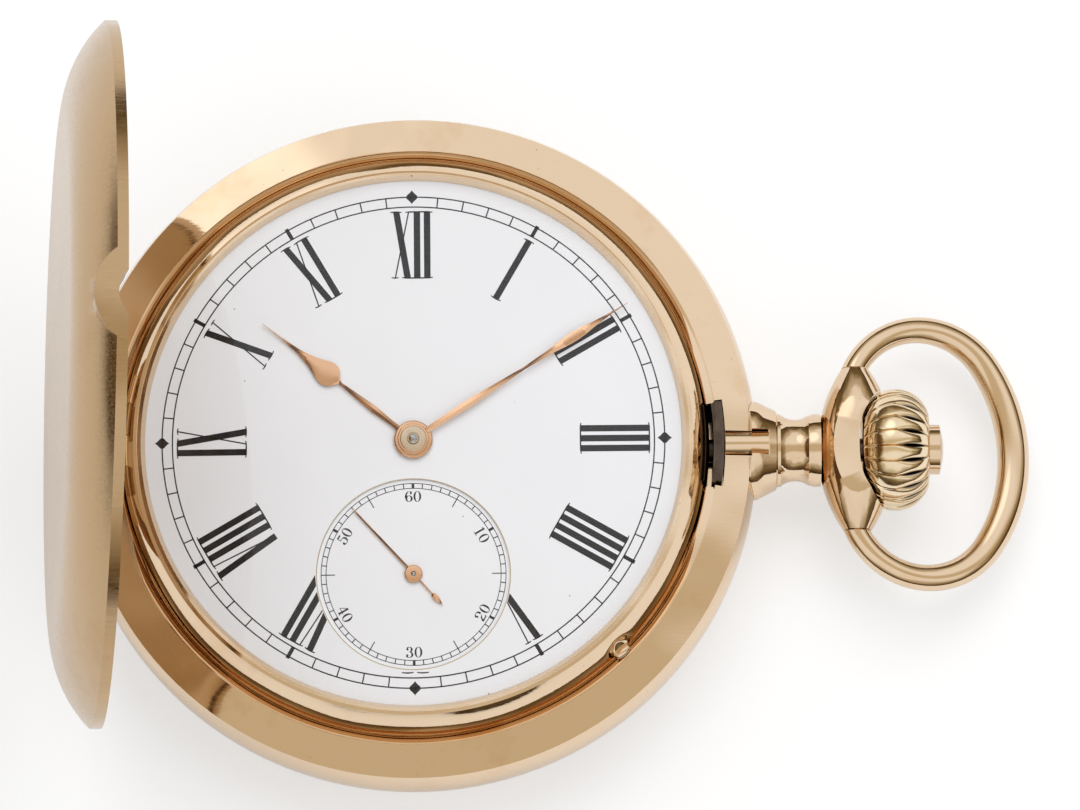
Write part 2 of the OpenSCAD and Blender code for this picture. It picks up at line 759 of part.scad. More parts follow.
// Curved steel spring that throws the lid open
module lift_spring() {
    color([0.35, 0.34, 0.35]) difference() {
        union() {
            sector(catch_in, catch_in + 0.45, spring_z + 0.04, spring_z + spring_h - 0.04,
                lift_screw_at + 2, 173);
            rotate([0, 0, lift_screw_at]) translate([catch_in + 0.35, 0, spring_z])
                cylinder(r = 1.3, h = spring_h);
            sector(catch_in + 0.05, catch_out, spring_z, seam + 0.25, 171.4, 174.6);
        }
        rotate([0, 0, lift_screw_at]) translate([catch_in + 0.35, 0, spring_z - 1])
            cylinder(r = shank_r + fit, h = 4);
    }
}

module spring_screw(at) {
    color([0.45, 0.45, 0.5]) rotate([0, 0, at]) translate([catch_in + 0.35, 0, 0]) difference() {
        union() {
            translate([0, 0, back_seam + 0.72])
                cylinder(r = shank_r - 0.01, h = spring_z + spring_h + slack - back_seam - 0.72);
            translate([0, 0, spring_z + spring_h + fit]) cylinder(r = 0.9, h = 0.45);
        }
        translate([-1, -0.12, spring_z + spring_h + 0.3]) cube([2, 0.24, 1]);
    }
}

// Dial and hands

module dial() {
    color([0.95, 0.94, 0.93]) difference() {
        translate([0, 0, dial_z - dial_t]) cylinder(r = dial_r, h = dial_t, $fn = 180);
        translate([0, 0, dial_z - 2]) cylinder(r = 1.02, h = 4);
        translate([0, -sub_y, dial_z - 2]) cylinder(r = sub_r, h = 4, $fn = 120);
    }
}

module seconds_dial() {
    color([0.93, 0.92, 0.91]) translate([0, -sub_y, 0]) difference() {
        translate([0, 0, dial_z - dial_t]) cylinder(r = sub_r - 0.01, h = dial_t - sub_sink, $fn = 120);
        translate([0, 0, dial_z - 2]) cylinder(r = 0.4, h = 4);
    }
}

// A hand outline along +Y from half widths at distances
module blade(rows) {
    polygon(concat([for (p = rows) [p[1], p[0]]],
        [for (i = [len(rows) - 1:-1:0]) [-rows[i][1], rows[i][0]]]));
}

module hour_hand() {
    k = hour_len / 14.9;
    color([0.72, 0.53, 0.36]) rotate([0, 0, -hour_at]) translate([0, 0, hour_z]) difference() {
        linear_extrude(hand_t) difference() {
            union() {
                circle(r = 1.5);
                blade([[0, 0.2], [1.5 * k, 0.17], [3.9 * k, 0.28], [7.3 * k, 0.09], [8.4 * k, 0.09]]);
                translate([0, 8.5 * k]) circle(r = 0.98);
                blade([[8.5 * k, 0.98], [9.2 * k, 0.76], [10.1 * k, 0.42], [11.3 * k, 0.17],
                    [12.8 * k, 0.08], [hour_len, 0.02]]);
            }
            circle(r = 0.72);
        }
    }
}

module minute_hand() {
    k = minute_len / 19.8;
    color([0.72, 0.53, 0.36]) rotate([0, 0, -minute_at]) translate([0, 0, minute_z]) difference() {
        linear_extrude(hand_t) difference() {
            union() {
                circle(r = 1.03);
                blade([[0, 0.22], [1 * k, 0.2], [5.2 * k, 0.31], [10.2 * k, 0.1], [12.7 * k, 0.21],
                    [14 * k, 0.35], [14.9 * k, 0.39], [15.7 * k, 0.34], [16.6 * k, 0.22],
                    [17.8 * k, 0.1], [minute_len, 0.03]]);
            }
            circle(r = 0.52);
        }
    }
}

module seconds_hand() {
    k = seconds_len / 6.95;
    color([0.72, 0.53, 0.36]) translate([0, -sub_y, seconds_z]) rotate([0, 0, -seconds_at])
        linear_extrude(seconds_t) difference() {
            union() {
                circle(r = 0.7);
                blade([[-2.5 * k, 0.06], [0, 0.1], [seconds_len - 0.3, 0.06], [seconds_len, 0.02]]);
                blade([[-3.3 * k, 0.02], [-2.6 * k, 0.2], [-2.3 * k, 0.2], [-2.1 * k, 0.08]]);
            }
            circle(r = 0.2);
        }
}

// Motion work under the dial

module hour_wheel() {
    color([0.8, 0.66, 0.38]) difference() {
        union() {
            translate([0, 0, plate_top + 0.55])
                gear(hour_wheel_n, mod_hour, 0.3, minute_wheel_at + 180 / hour_wheel_n);
            translate([0, 0, plate_top + 0.55]) cylinder(r = 0.95, h = hour_z - plate_top - 0.55);
            translate([0, 0, hour_z - 0.01]) cylinder(r = 0.71, h = hand_t);
        }
        translate([0, 0, plate_top]) cylinder(r = 0.64, h = 4);
    }
}

module cannon_pinion() {
    color([0.6, 0.6, 0.63]) difference() {
        union() {
            translate([0, 0, plate_top + 0.06]) gear(cannon_n, mod_motion, 0.42, minute_wheel_at + 15);
            translate([0, 0, plate_top + 0.06]) cylinder(r = 0.6, h = minute_z - plate_top - 0.06);
            translate([0, 0, minute_z - 0.01]) cylinder(r = 0.51, h = hand_t);
        }
        translate([0, 0, plate_top - 1]) cylinder(r = 0.42, h = 5);
    }
}

module minute_wheel() {
    color([0.8, 0.66, 0.38]) translate([minute_wheel_p[0], minute_wheel_p[1], 0]) difference() {
        union() {
            translate([0, 0, plate_top + 0.1])
                gear(minute_wheel_n, mod_motion, 0.34, minute_wheel_at + 180);
            translate([0, 0, plate_top + 0.4])
                gear(minute_pinion_n, mod_hour, 0.5, minute_wheel_at + 180);
        }
        cylinder(r = 0.32, h = 20);
    }
}

// Plates

module main_plate() {
    color([0.82, 0.72, 0.45]) difference() {
        union() {
            translate([0, 0, plate_z]) cylinder(r = plate_r, h = plate_t, $fn = 180);
            translate([0, 0, plate_top]) difference() {
                cylinder(r = plate_r, h = dial_z - dial_t - plate_top, $fn = 180);
                translate([0, 0, -1]) cylinder(r = plate_r - 1.1, h = 4, $fn = 180);
            }
            translate([minute_wheel_p[0], minute_wheel_p[1], plate_top]) cylinder(r = 0.3, h = 0.85);
        }
        translate([0, 0, plate_z - 1]) cylinder(r = 0.8, h = 4);
        translate([fourth_p[0], fourth_p[1], plate_z - 1]) cylinder(r = 0.36, h = 4);
        for (p = [third_p, escape_p, pallet_p, balance_p])
            translate([p[0], p[1], plate_z - 0.01]) {
                cylinder(r = jewel_r, h = jewel_t);
                cylinder(r = pivot_r + 0.1, h = jewel_t + 0.4);
            }
        translate([barrel_p[0], barrel_p[1], plate_z - 0.1]) cylinder(r = 0.72, h = 0.9);
        bar_x(wind_pinion_r + slack, stem_in - slack, stem_in + pinion_len + 2 * slack);
        bar_x(stem_r + slack, stem_in, 30);
        for (p = concat(barrel_posts, train_posts, [cock_foot]))
            translate([p[0], p[1], plate_z - 1]) cylinder(r = shank_r, h = 2.5);
        for (a = [60, 240]) rotate([0, 0, a]) translate([case_screw_at, 0, plate_z - 1]) cylinder(r = 0.35, h = 2.2);
    }
}

module posts(list, floor) {
    for (p = list) translate([p[0], p[1], floor]) cylinder(r = post_r, h = plate_z - floor);
}

module post_holes(list, floor) {
    for (p = list) translate([p[0], p[1], floor - 1]) {
        cylinder(r = shank_r + 0.02, h = 8);
        cylinder(r = screw_r + 0.05, h = 1.55);
    }
}

module barrel_bridge() {
    color([0.84, 0.74, 0.47]) difference() {
        union() {
            translate([0, 0, bridge_low]) linear_extrude(bridge_t) intersection() {
                circle(r = ledge_r - 0.3, $fn = 180);
                polygon([[-21, 2.4], [-2.6, 2.4], [2, 1.2], [8, -1.4], [22, -1.4], [22, 22], [-21, 22]]);
            }
            posts(barrel_posts, bridge_low + 0.3);
        }
        post_holes(barrel_posts, bridge_low);
        // recesses for the winding wheels and the click, with their pivot holes
        translate([barrel_p[0], barrel_p[1], bridge_low - 1]) {
            cylinder(r = 1, h = 4);
            translate([0, 0, wind_z - bridge_low + 0.95])
                cylinder(r = mod_wind * (ratchet_n / 2 + 0.6) + 0.2, h = 2);
        }
        translate([crown_wheel_p[0], crown_wheel_p[1], bridge_low - 1]) {
            cylinder(r = 0.73, h = 4);
            translate([0, 0, wind_z - bridge_low + 0.95])
                cylinder(r = mod_wind * (crown_wheel_n / 2 + 0.6) + 0.2, h = 2);
        }
        translate([click_p[0], click_p[1], bridge_low - 1]) {
            cylinder(r = 0.32, h = 4);
            translate([0, 0, wind_z - bridge_low + 0.95]) cylinder(r = 3.1, h = 2);
        }
        bar_x(wind_pinion_r + slack, stem_in - slack, stem_in + pinion_len + 2 * slack);
        bar_x(stem_r + slack, stem_in, 30);
        translate([0, 0, bridge_low - 1]) cylinder(r = 2.6, h = 4);
    }
}

module train_bridge() {
    color([0.84, 0.74, 0.47]) difference() {
        union() {
            translate([0, 0, bridge_low]) linear_extrude(bridge_t) intersection() {
                circle(r = ledge_r - 0.3, $fn = 180);
                union() {
                    polygon([[-21, 2.1], [-2.6, 2.1], [2.4, 0.6], [3, -2.4], [5.8, -10],
                        [6.6, -13.6], [2.2, -21], [-21, -21]]);
                    circle(r = 2.5);
                }
            }
            posts(train_posts, bridge_low + 0.3);
        }
        post_holes(train_posts, bridge_low);
        translate([0, 0, bridge_low - 1]) cylinder(r = 0.28, h = 3);
        translate([barrel_p[0], barrel_p[1], wind_z - 0.05])
            cylinder(r = mod_wind * (ratchet_n / 2 + 0.6) + 0.2, h = 2);
        for (p = [third_p, fourth_p, escape_p]) translate([p[0], p[1], bridge_z]) {
            translate([0, 0, -jewel_t]) cylinder(r = jewel_r, h = 2);
            translate([0, 0, -bridge_t - 1]) cylinder(r = 0.3, h = 3);
        }
    }
}

module balance_cock() {
    dir = atan2(balance_p[1] - cock_foot[1], balance_p[0] - cock_foot[0]);
    span = norm(balance_p - cock_foot);
    color([0.84, 0.74, 0.47]) difference() {
        intersection() {
            translate([cock_foot[0], cock_foot[1], 0]) rotate([0, 0, dir]) union() {
                translate([0, 0, cock_z]) linear_extrude(cock_t) union() {
                    polygon([[0, -2.1], [span, -1.5], [span, 1.5], [0, 2.1]]);
                    circle(r = 2.1);
                    translate([span, 0]) circle(r = 2);
                }
                translate([0, 0, cock_z]) cylinder(r = 2.1, h = plate_z - cock_z);
            }
            cylinder(r = ledge_r - 0.3, h = 12, $fn = 180);
        }
        post_holes([cock_foot], cock_z);
        translate([balance_p[0], balance_p[1], cock_z - 1]) cylinder(r = 0.3, h = 3);
        translate([balance_p[0], balance_p[1], cock_z + cock_t - jewel_t]) cylinder(r = jewel_r, h = 2);
    }
}

// Small bridge over the pallet arbor, under the balance
module pallet_bridge() {
    a = pallet_bridge_dir;
    color([0.84, 0.74, 0.47]) translate([pallet_p[0], pallet_p[1], 0]) rotate([0, 0, a]) difference() {
        union() {
            translate([0, 0, fourth_wheel_z + 0.45]) linear_extrude(0.3) union() {
                circle(r = 0.8);
                polygon([[0, -0.8], [3.4, -1.1], [3.4, 1.1], [0, 0.8]]);
                translate([3.4, 0]) circle(r = 1.1);
            }
            translate([3.4, 0, fourth_wheel_z + 0.45]) cylinder(r = 1.1, h = plate_z - fourth_wheel_z - 0.45);
        }
        translate([0, 0, bridge_z]) cylinder(r = pivot_r + fit, h = 3);
    }
}

// Jewel rings in the plate and the bridges
module jewels() {
    color([0.75, 0.1, 0.25]) {
        for (p = [third_p, escape_p, pallet_p, balance_p])
            jewel(p, plate_z);
        for (p = [third_p, fourth_p, escape_p]) jewel(p, bridge_z - jewel_t);
        jewel(balance_p, cock_z + cock_t - jewel_t);
    }
}

module jewel(p, z) {
    translate([p[0], p[1], z]) difference() {
        cylinder(r = jewel_r - 0.01, h = jewel_t - 0.01);
        translate([0, 0, -1]) cylinder(r = pivot_r + fit, h = 3);
    }
}

module bridge_screws() {
    color([0.4, 0.42, 0.52]) {
        for (i = [0:len(barrel_posts) - 1])
            screw(barrel_posts[i], bridge_low + 0.04, screw_r, 0.5, shank_r - 0.01, 5, 40 * i);
        for (i = [0:len(train_posts) - 1])
            screw(train_posts[i], bridge_low + 0.04, screw_r, 0.5, shank_r - 0.01, 5, 70 * i + 20);
        screw(cock_foot, cock_z + 0.04, screw_r, 0.5, shank_r - 0.01, 5.3, 15);
    }
}

// Two screws whose heads hold the movement on the ledge of the case
module case_screws() {
    color([0.4, 0.42, 0.52]) for (a = [60, 240]) rotate([0, 0, a])
        screw([case_screw_at, 0], plate_z - 1.18, 1.35, 0.42, 0.34, 1.4, 30);
}

// Wheels

module barrel() {
    color([0.85, 0.7, 0.4]) translate([barrel_p[0], barrel_p[1], 0]) difference() {
        union() {
            translate([0, 0, barrel_z]) cylinder(r = drum_r, h = barrel_h);
            translate([0, 0, great_z]) gear(barrel_n, mod_barrel, great_t, barrel_at + 180);
        }
        translate([0, 0, barrel_z + 0.22]) cylinder(r = drum_r - 0.35, h = barrel_h - 0.44);
        translate([0, 0, barrel_z - 1]) cylinder(r = 0.75, h = 5);
    }
}

// Flat spiral of half rings: each half turn is centred half a pitch to one side
module spiral(r0, step, strip, h, halves) {
    for (i = [0:halves - 1]) let (r = r0 + i * step / 2, off = (i % 2 == 0) ? 0 : step / 2)
        translate([off, 0, 0]) rotate([0, 0, i * 180]) rotate_extrude(angle = 180)
            translate([r, 0]) square([strip, h]);
}

module mainspring() {
    inner = 1.75;
    step = (drum_r - 0.75 - inner) / (main_halves / 2);
    color([0.5, 0.52, 0.56]) translate([barrel_p[0], barrel_p[1], barrel_z + 0.3])
        spiral(inner, step, 0.14, barrel_h - 0.6, main_halves);
}

module barrel_arbor() {
    color([0.55, 0.56, 0.6]) translate([barrel_p[0], barrel_p[1], 0]) {
        translate([0, 0, bridge_low + 0.05]) cylinder(r = 0.97, h = wind_z - bridge_low - 0.05);
        translate([0, 0, wind_z]) linear_extrude(wind_t) square(1.3, center = true);
        translate([0, 0, wind_z + wind_t]) cylinder(r = 0.72, h = barrel_z + 0.25 - wind_z - wind_t);
        translate([0, 0, barrel_z + 0.25]) cylinder(r = 1.6, h = barrel_h - 0.5);
        translate([0, 0, barrel_z + 1]) cylinder(r = 0.69, h = plate_z - barrel_z - 0.4);
    }
}

module ratchet_wheel() {
    color([0.62, 0.62, 0.65]) translate([barrel_p[0], barrel_p[1], wind_z]) difference() {
        gear(ratchet_n, mod_wind, wind_t, crown_wheel_dir);
        translate([0, 0, -1]) linear_extrude(3) square(1.34, center = true);
    }
}

module crown_wheel() {
    color([0.62, 0.62, 0.65]) translate([crown_wheel_p[0], crown_wheel_p[1], wind_z]) difference() {
        gear(crown_wheel_n, mod_wind, wind_t, facing(crown_wheel_dir, crown_wheel_n));
        translate([0, 0, -1]) cylinder(r = 0.75, h = 3);
    }
}

module crown_wheel_screw() {
    color([0.4, 0.42, 0.52]) translate([crown_wheel_p[0], crown_wheel_p[1], 0]) difference() {
        union() {
            translate([0, 0, bridge_low - 0.3]) cylinder(r = 1.3, h = 0.3);
            translate([0, 0, bridge_low - 0.1]) cylinder(r = 0.72, h = wind_z + wind_t - bridge_low);
        }
        translate([-2, -0.12, bridge_low - 0.31]) cube([4, 0.24, 0.16]);
    }
}

// Click that holds the ratchet wheel
module click() {
    color([0.62, 0.62, 0.65]) translate([click_p[0], click_p[1], 0]) {
        translate([0, 0, wind_z]) linear_extrude(wind_t) union() {
            circle(r = 0.75);
            rotate([0, 0, click_dir + 90]) polygon([[0, -0.6], [2.1, -0.2], [2.7, 0.6], [2.4, 0.9], [0, 0.6]]);
        }
        translate([0, 0, bridge_low]) cylinder(r = 0.3, h = wind_z - bridge_low + 0.1);
    }
}

module centre_wheel() {
    color([0.85, 0.7, 0.4]) union() {
        translate([0, 0, centre_wheel_z]) difference() {
            gear(centre_n, mod_centre, wheel_t, third_dir);
            translate([0, 0, -1]) crossings(1.4, mod_centre * centre_n / 2 - 1, 3, 5, 0.6);
        }
        translate([0, 0, great_z - 0.1])
            gear(pinion_n, mod_barrel, centre_wheel_z - great_z + 0.1, facing(barrel_at - 180, pinion_n));
        translate([0, 0, bridge_z + 0.1]) cylinder(r = 0.55, h = great_z - bridge_z);
        translate([0, 0, bridge_z - jewel_t]) cylinder(r = 0.25, h = 1);
        translate([0, 0, centre_wheel_z]) cylinder(r = 0.75, h = plate_top - centre_wheel_z + 0.02);
        translate([0, 0, centre_wheel_z]) cylinder(r = 0.4, h = arbor_top - centre_wheel_z);
    }
}

module third_wheel() {
    color([0.85, 0.7, 0.4]) translate([third_p[0], third_p[1], 0]) union() {
        translate([0, 0, third_wheel_z]) difference() {
            gear(third_n, mod_third, wheel_t, fourth_dir);
            translate([0, 0, -1]) crossings(1.2, mod_third * third_n / 2 - 0.9, 3, 5, 0.55);
        }
        translate([0, 0, centre_wheel_z - 0.12])
            gear(pinion_n, mod_centre, wheel_t + 0.24, facing(third_dir, pinion_n));
        arbor(0.3, bridge_z + 0.06, plate_z - 0.06, bridge_z - 0.3, plate_z + 0.4);
    }
}

module fourth_wheel() {
    color([0.85, 0.7, 0.4]) translate([fourth_p[0], fourth_p[1], 0]) union() {
        translate([0, 0, fourth_wheel_z]) difference() {
            gear(fourth_n, mod_fourth, wheel_t, escape_at);
            translate([0, 0, -1]) crossings(1.1, mod_fourth * fourth_n / 2 - 0.8, 3, 5, 0.5);
        }
        translate([0, 0, third_wheel_z - 0.12])
            gear(pinion_n, mod_third, wheel_t + 0.24, facing(fourth_dir, pinion_n));
        arbor(0.3, bridge_z + 0.06, plate_top, bridge_z - 0.3, seconds_z + 0.1);
        translate([0, 0, plate_top - 0.1]) cylinder(r = 0.28, h = seconds_z - plate_top + 0.08);
    }
}

// Club-toothed escape wheel
module escape_wheel() {
    pitch = 360 / escape_n;
    color([0.62, 0.62, 0.65]) translate([escape_p[0], escape_p[1], 0]) union() {
        translate([0, 0, escape_z]) difference() {
            linear_extrude(0.25) polygon([for (i = [0:escape_n - 1])
                for (p = [[0, 1.95], [0.42, 2], [0.6, escape_r], [0.75, escape_r - 0.1], [0.62, 1.95]])
                    p[1] * [cos((i + p[0]) * pitch), sin((i + p[0]) * pitch)]]);
            translate([0, 0, -1]) crossings(0.7, 1.6, 3, 4, 0.4);
        }
        translate([0, 0, fourth_wheel_z - 0.12])
            gear(escape_pinion_n, mod_fourth, wheel_t + 0.24, facing(escape_at, escape_pinion_n));
        arbor(0.22, bridge_z + 0.06, plate_z - 0.06, bridge_z - 0.3, plate_z + 0.4);
    }
}

// Lever with two pallets and a forked end towards the balance
module pallet_fork() {
    reach = norm(balance_p - pallet_p) - 1.35;
    color([0.6, 0.6, 0.63]) translate([pallet_p[0], pallet_p[1], 0]) rotate([0, 0, balance_dir]) union() {
        translate([0, 0, escape_z]) linear_extrude(0.25) union() {
            circle(r = 0.5);
            polygon([[0, -0.25], [reach - 0.6, -0.15], [reach, -0.45], [reach, -0.16], [reach - 0.4, 0],
                [reach, 0.16], [reach, 0.45], [reach - 0.6, 0.15], [0, 0.25]]);
            for (s = [-1, 1]) scale([1, s]) polygon([[0.2, 0], [0.2, 0.5], [-1.2, 2.6], [-1.65, 2.4],
                [-1.45, 2.1], [-0.4, 0.4], [-0.4, 0]]);
        }
        arbor(0.2, fourth_wheel_z + 0.8, plate_z - 0.06, fourth_wheel_z + 0.5, plate_z + 0.4);
    }
}

// Ring balance with arms, timing screws, roller and staff
module balance_wheel() {
    color([0.85, 0.7, 0.4]) translate([balance_p[0], balance_p[1], 0]) union() {
        translate([0, 0, balance_z]) difference() {
            cylinder(r = balance_r, h = 0.7, $fn = 120);
            translate([0, 0, -1]) crossings(0.9, balance_r - 0.6, 3, 2, 0.7);
        }
        for (i = [0:11]) rotate([0, 0, i * 30 + 15]) translate([balance_r - 0.1, 0, balance_z + 0.35])
            rotate([0, 90, 0]) cylinder(r = 0.26, h = 0.42);
        translate([0, 0, balance_z + 0.7]) cylinder(r = 0.35, h = 0.5);
        translate([0, 0, balance_z + 0.95]) cylinder(r = 1.5, h = 0.25);
        rotate([0, 0, balance_dir + 180]) translate([1.15, 0, balance_z + 1.1]) cylinder(r = 0.14, h = 0.8);
        translate([0, 0, cock_z + cock_t + 0.1]) cylinder(r = 0.3, h = balance_z - cock_z - cock_t);
        translate([0, 0, cock_z + cock_t - 0.3]) cylinder(r = pivot_r, h = plate_z - cock_z - cock_t + 0.7);
        translate([0, 0, balance_z]) cylinder(r = 0.3, h = plate_z - balance_z - 0.1);
    }
}

module hairspring() {
    color([0.3, 0.35, 0.6]) translate([balance_p[0], balance_p[1], balance_z - 0.42])
        spiral(0.55, 0.42, 0.06, 0.2, hair_halves);
}

case_middle();
front_lid();
hinge_pin(seam);  // front_hinge_pin
back_cover();
hinge_pin(back_seam);  // back_hinge_pin
cuvette();
bezel();
crystal();
pendant();
bow_yoke();
bow();
bow_screw(0);  // bow_screw_upper
bow_screw(1);  // bow_screw_lower
crown();
crown_button();
push_rod();
winding_stem();
winding_pinion();
lock_spring();
lift_spring();
spring_screw(lock_screw_at);  // lock_spring_screw
spring_screw(lift_screw_at);  // lift_spring_screw
dial();
seconds_dial();
hour_hand();
minute_hand();
seconds_hand();
hour_wheel();
cannon_pinion();
minute_wheel();
main_plate();
barrel();
mainspring();
barrel_arbor();
ratchet_wheel();
crown_wheel();
crown_wheel_screw();
click();
barrel_bridge();
train_bridge();
balance_cock();
centre_wheel();
third_wheel();
fourth_wheel();
escape_wheel();
pallet_fork();
pallet_bridge();
balance_wheel();
hairspring();
jewels();
bridge_screws();
case_screws();
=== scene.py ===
"""Looks of a hunter pocket watch that lies on its back with its front lid open.

Lengths are written in millimetres and turned to metres when a mesh is made. The frame is that of
the solids: +Z out of the dial, +X to the crown, +Y to twelve o'clock.
"""

import logging
import math
from dataclasses import dataclass, field
from enum import Enum
from functools import cache

import bmesh
import bpy
import numpy as np
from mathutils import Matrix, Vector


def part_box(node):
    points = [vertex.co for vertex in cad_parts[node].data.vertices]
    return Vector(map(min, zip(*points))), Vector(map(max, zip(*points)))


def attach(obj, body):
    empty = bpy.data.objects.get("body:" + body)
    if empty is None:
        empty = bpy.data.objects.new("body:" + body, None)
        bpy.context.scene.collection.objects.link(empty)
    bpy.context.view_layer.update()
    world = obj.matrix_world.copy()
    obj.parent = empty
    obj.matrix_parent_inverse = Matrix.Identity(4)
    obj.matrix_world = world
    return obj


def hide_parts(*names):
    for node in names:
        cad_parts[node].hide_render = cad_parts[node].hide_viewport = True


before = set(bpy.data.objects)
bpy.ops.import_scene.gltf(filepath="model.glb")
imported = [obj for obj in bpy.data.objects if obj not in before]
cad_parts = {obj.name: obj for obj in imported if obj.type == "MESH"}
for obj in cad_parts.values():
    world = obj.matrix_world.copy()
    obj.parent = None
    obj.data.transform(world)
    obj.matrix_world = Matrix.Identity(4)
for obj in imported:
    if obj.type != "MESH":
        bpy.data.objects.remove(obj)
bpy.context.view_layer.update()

MM = 0.001
Tree = bpy.types.NodeTree
Node = bpy.types.Node
Socket = bpy.types.NodeSocket
Pair = tuple[float, float]
Triple = tuple[float, float, float]
Stroke = tuple[np.ndarray, np.ndarray]
# axis of the seconds hand, as (x, y) in millimetres
SECONDS_AXIS = (0.0, -10.5)
LOG = logging.getLogger("watch")


# Small helpers --------------------------------------------


def tint(code: str) -> tuple[float, float, float, float]:
    """Turn an sRGB hex colour into Blender's linear colour.

    Args:
        code: Six hex digits, such as "E3CBAC".

    Returns:
        Red, green, blue and an alpha of 1.
    """
    raw = np.array([int(code[i:i + 2], 16) for i in (0, 2, 4)]) / 255.0
    low = raw / 12.92
    high = ((raw + 0.055) / 1.055) ** 2.4
    r, g, b = np.where(raw <= 0.04045, low, high)
    return float(r), float(g), float(b), 1.0


def place(tree: Tree, kind: str, feeds: dict | None = None, **settings) -> Node:
    """Add a node with its settings and what feeds its inputs.

    Args:
        tree: The node tree.
        kind: The node's type name without the leading "ShaderNode".
        feeds: Input name or number to a value, a socket, or a node for its first output.
        settings: Properties of the node, or values of its inputs where no property has that name.

    Returns:
        The new node.
    """
    made = tree.nodes.new("ShaderNode" + kind)
    for name, value in settings.items():
        if hasattr(made, name):
            setattr(made, name, value)
    for name, value in settings.items():
        if not hasattr(made, name):
            made.inputs[name.replace("_", " ")].default_value = value
    for name, value in (feeds or {}).items():
        if isinstance(value, Node):
            value = value.outputs[0]
        if isinstance(value, Socket):
            tree.links.new(value, made.inputs[name])
        else:
            made.inputs[name].default_value = value
    return made


def reckon(tree: Tree, operation: str, *values: float | Socket | Node) -> Node:
    """Add a math node that works on two or three values."""
    return place(tree, "Math", dict(enumerate(values)), operation=operation)


def blend(tree: Tree, share: Socket | Node, first: str | Socket, second: str | Socket) -> Socket:
    """Mix two colours.

    Args:
        tree: The node tree.
        share: How much of the second shows.
        first: A hex colour or a socket.
        second: A hex colour or a socket.

    Returns:
        The mixed colour.
    """
    first, second = (tint(c) if isinstance(c, str) else c for c in (first, second))
    return place(tree, "Mix", {0: share, 6: first, 7: second}, data_type="RGBA").outputs[2]


def noise(tree: Tree, where: Socket, scale: float, detail: float, **more: float) -> Socket:
    """Add noise whose patches are about 1 / scale wide, in metres where space is measured so."""
    return place(tree, "TexNoise", {"Vector": where}, Scale=scale, Detail=detail,
                 **more).outputs[0]


def spread(tree: Tree, value: Socket, low: float, high: float, to_low: float = 0.0,
           to_high: float = 1.0, **more: str) -> Socket:
    """Carry a value from one range to another, and hold it at the ends."""
    return place(tree, "MapRange", {"Value": value}, From_Min=low, From_Max=high,
                 To_Min=to_low, To_Max=to_high, **more).outputs[0]


def relief(tree: Tree, height: Socket, strength: float, deep: float,
           under: Socket | None = None) -> Socket:
    """Add a bump that is deep metres high, on top of another one if that is given."""
    feeds = {"Height": height} if under is None else {"Height": height, "Normal": under}
    return place(tree, "Bump", feeds, Strength=strength, Distance=deep).outputs[0]


def start(name: str) -> tuple[bpy.types.Material, Tree, Socket]:
    """Begin an empty material.

    Args:
        name: The material's name.

    Returns:
        The material, its tree and the output's surface socket.
    """
    material = bpy.data.materials.new(name)
    material.use_nodes = True
    tree = material.node_tree
    tree.nodes.clear()
    end = place(tree, "OutputMaterial")
    return material, tree, end.inputs["Surface"]


def stand(name: str, data: bpy.types.ID) -> bpy.types.Object:
    """Put a new object with this data into the scene."""
    made = bpy.data.objects.new(name, data)
    bpy.context.scene.collection.objects.link(made)
    return made


def circle(steps: int) -> np.ndarray:
    """Return evenly spaced angles once round a circle, without the last, in radians."""
    return np.linspace(0.0, 2 * math.pi, steps, endpoint=False)


# Finishes -------------------------------------------------


class Coat:
    """What all finishes share: a name, and a shader that reads the piece's own coordinates."""

    name: str

    def shader(self, tree: Tree, where: Socket) -> Node:
        """Add the nodes of the finish and return the last one."""
        raise NotImplementedError

    def build(self) -> bpy.types.Material:
        """Make the material."""
        material, tree, surface = start(self.name)
        where = place(tree, "TexCoord").outputs["Object"]
        tree.links.new(self.shader(tree, where).outputs[0], surface)
        return material


@dataclass(frozen=True)
class PolishedGold(Coat):
    """Rose gold of 14 carat, buffed and worn, with hairlines, faint stains and tiny pits."""

    name: str
    body: str = "E6CDAF"
    stain: str = "CFA067"
    dirt: str = "6E4A2A"
    roughness: float = 0.05
    scratch: float = 0.07
    scratch_deep: float = 0.00002
    wave: float = 0.0006
    soot: str = ""

    def shader(self, tree: Tree, where: Socket) -> Node:
        """Add a metal whose colour and gloss drift slowly over the surface."""
        # tarnish in soft patches some 8 mm wide
        drift = noise(tree, where, 120.0, 4.0, Roughness=0.62)
        skin = blend(tree, spread(tree, drift, 0.55, 0.8, 0.0, 0.55), self.body, self.stain)
        # pits and dirt of less than half a millimetre, a few to the square centimetre
        pits = noise(tree, where, 2600.0, 2.0)
        skin = blend(tree, spread(tree, pits, 0.74, 0.8, 0.0, 0.5), skin, self.dirt)
        # painted shade and reflection in the crown's flute wells, laid on by the piece's tone
        # attribute
        if self.soot:
            depth = place(tree, "Attribute", attribute_name="tone").outputs["Fac"]
            skin = blend(tree, depth, skin, self.soot)
        # hairlines left by a buffing wheel, drawn coarser than real so that they show
        drawn = place(tree, "Mapping", {"Vector": where}, Rotation=(0.3, 0.2, 0.7),
                      Scale=(1.0, 14.0, 14.0)).outputs[0]
        hair = noise(tree, drawn, 420.0, 3.0)
        gloss = spread(tree, hair, 0.3, 0.75, self.roughness * 0.7, self.roughness * 1.5)
        # hand buffing leaves the metal a little wavy, over some 10 mm
        waves = relief(tree, noise(tree, where, 95.0, 1.0), 1.0, self.wave)
        bump = relief(tree, hair, self.scratch, self.scratch_deep, waves)
        return place(tree, "BsdfPrincipled",
                     {"Base Color": skin, "Roughness": gloss, "Normal": bump}, Metallic=1.0)


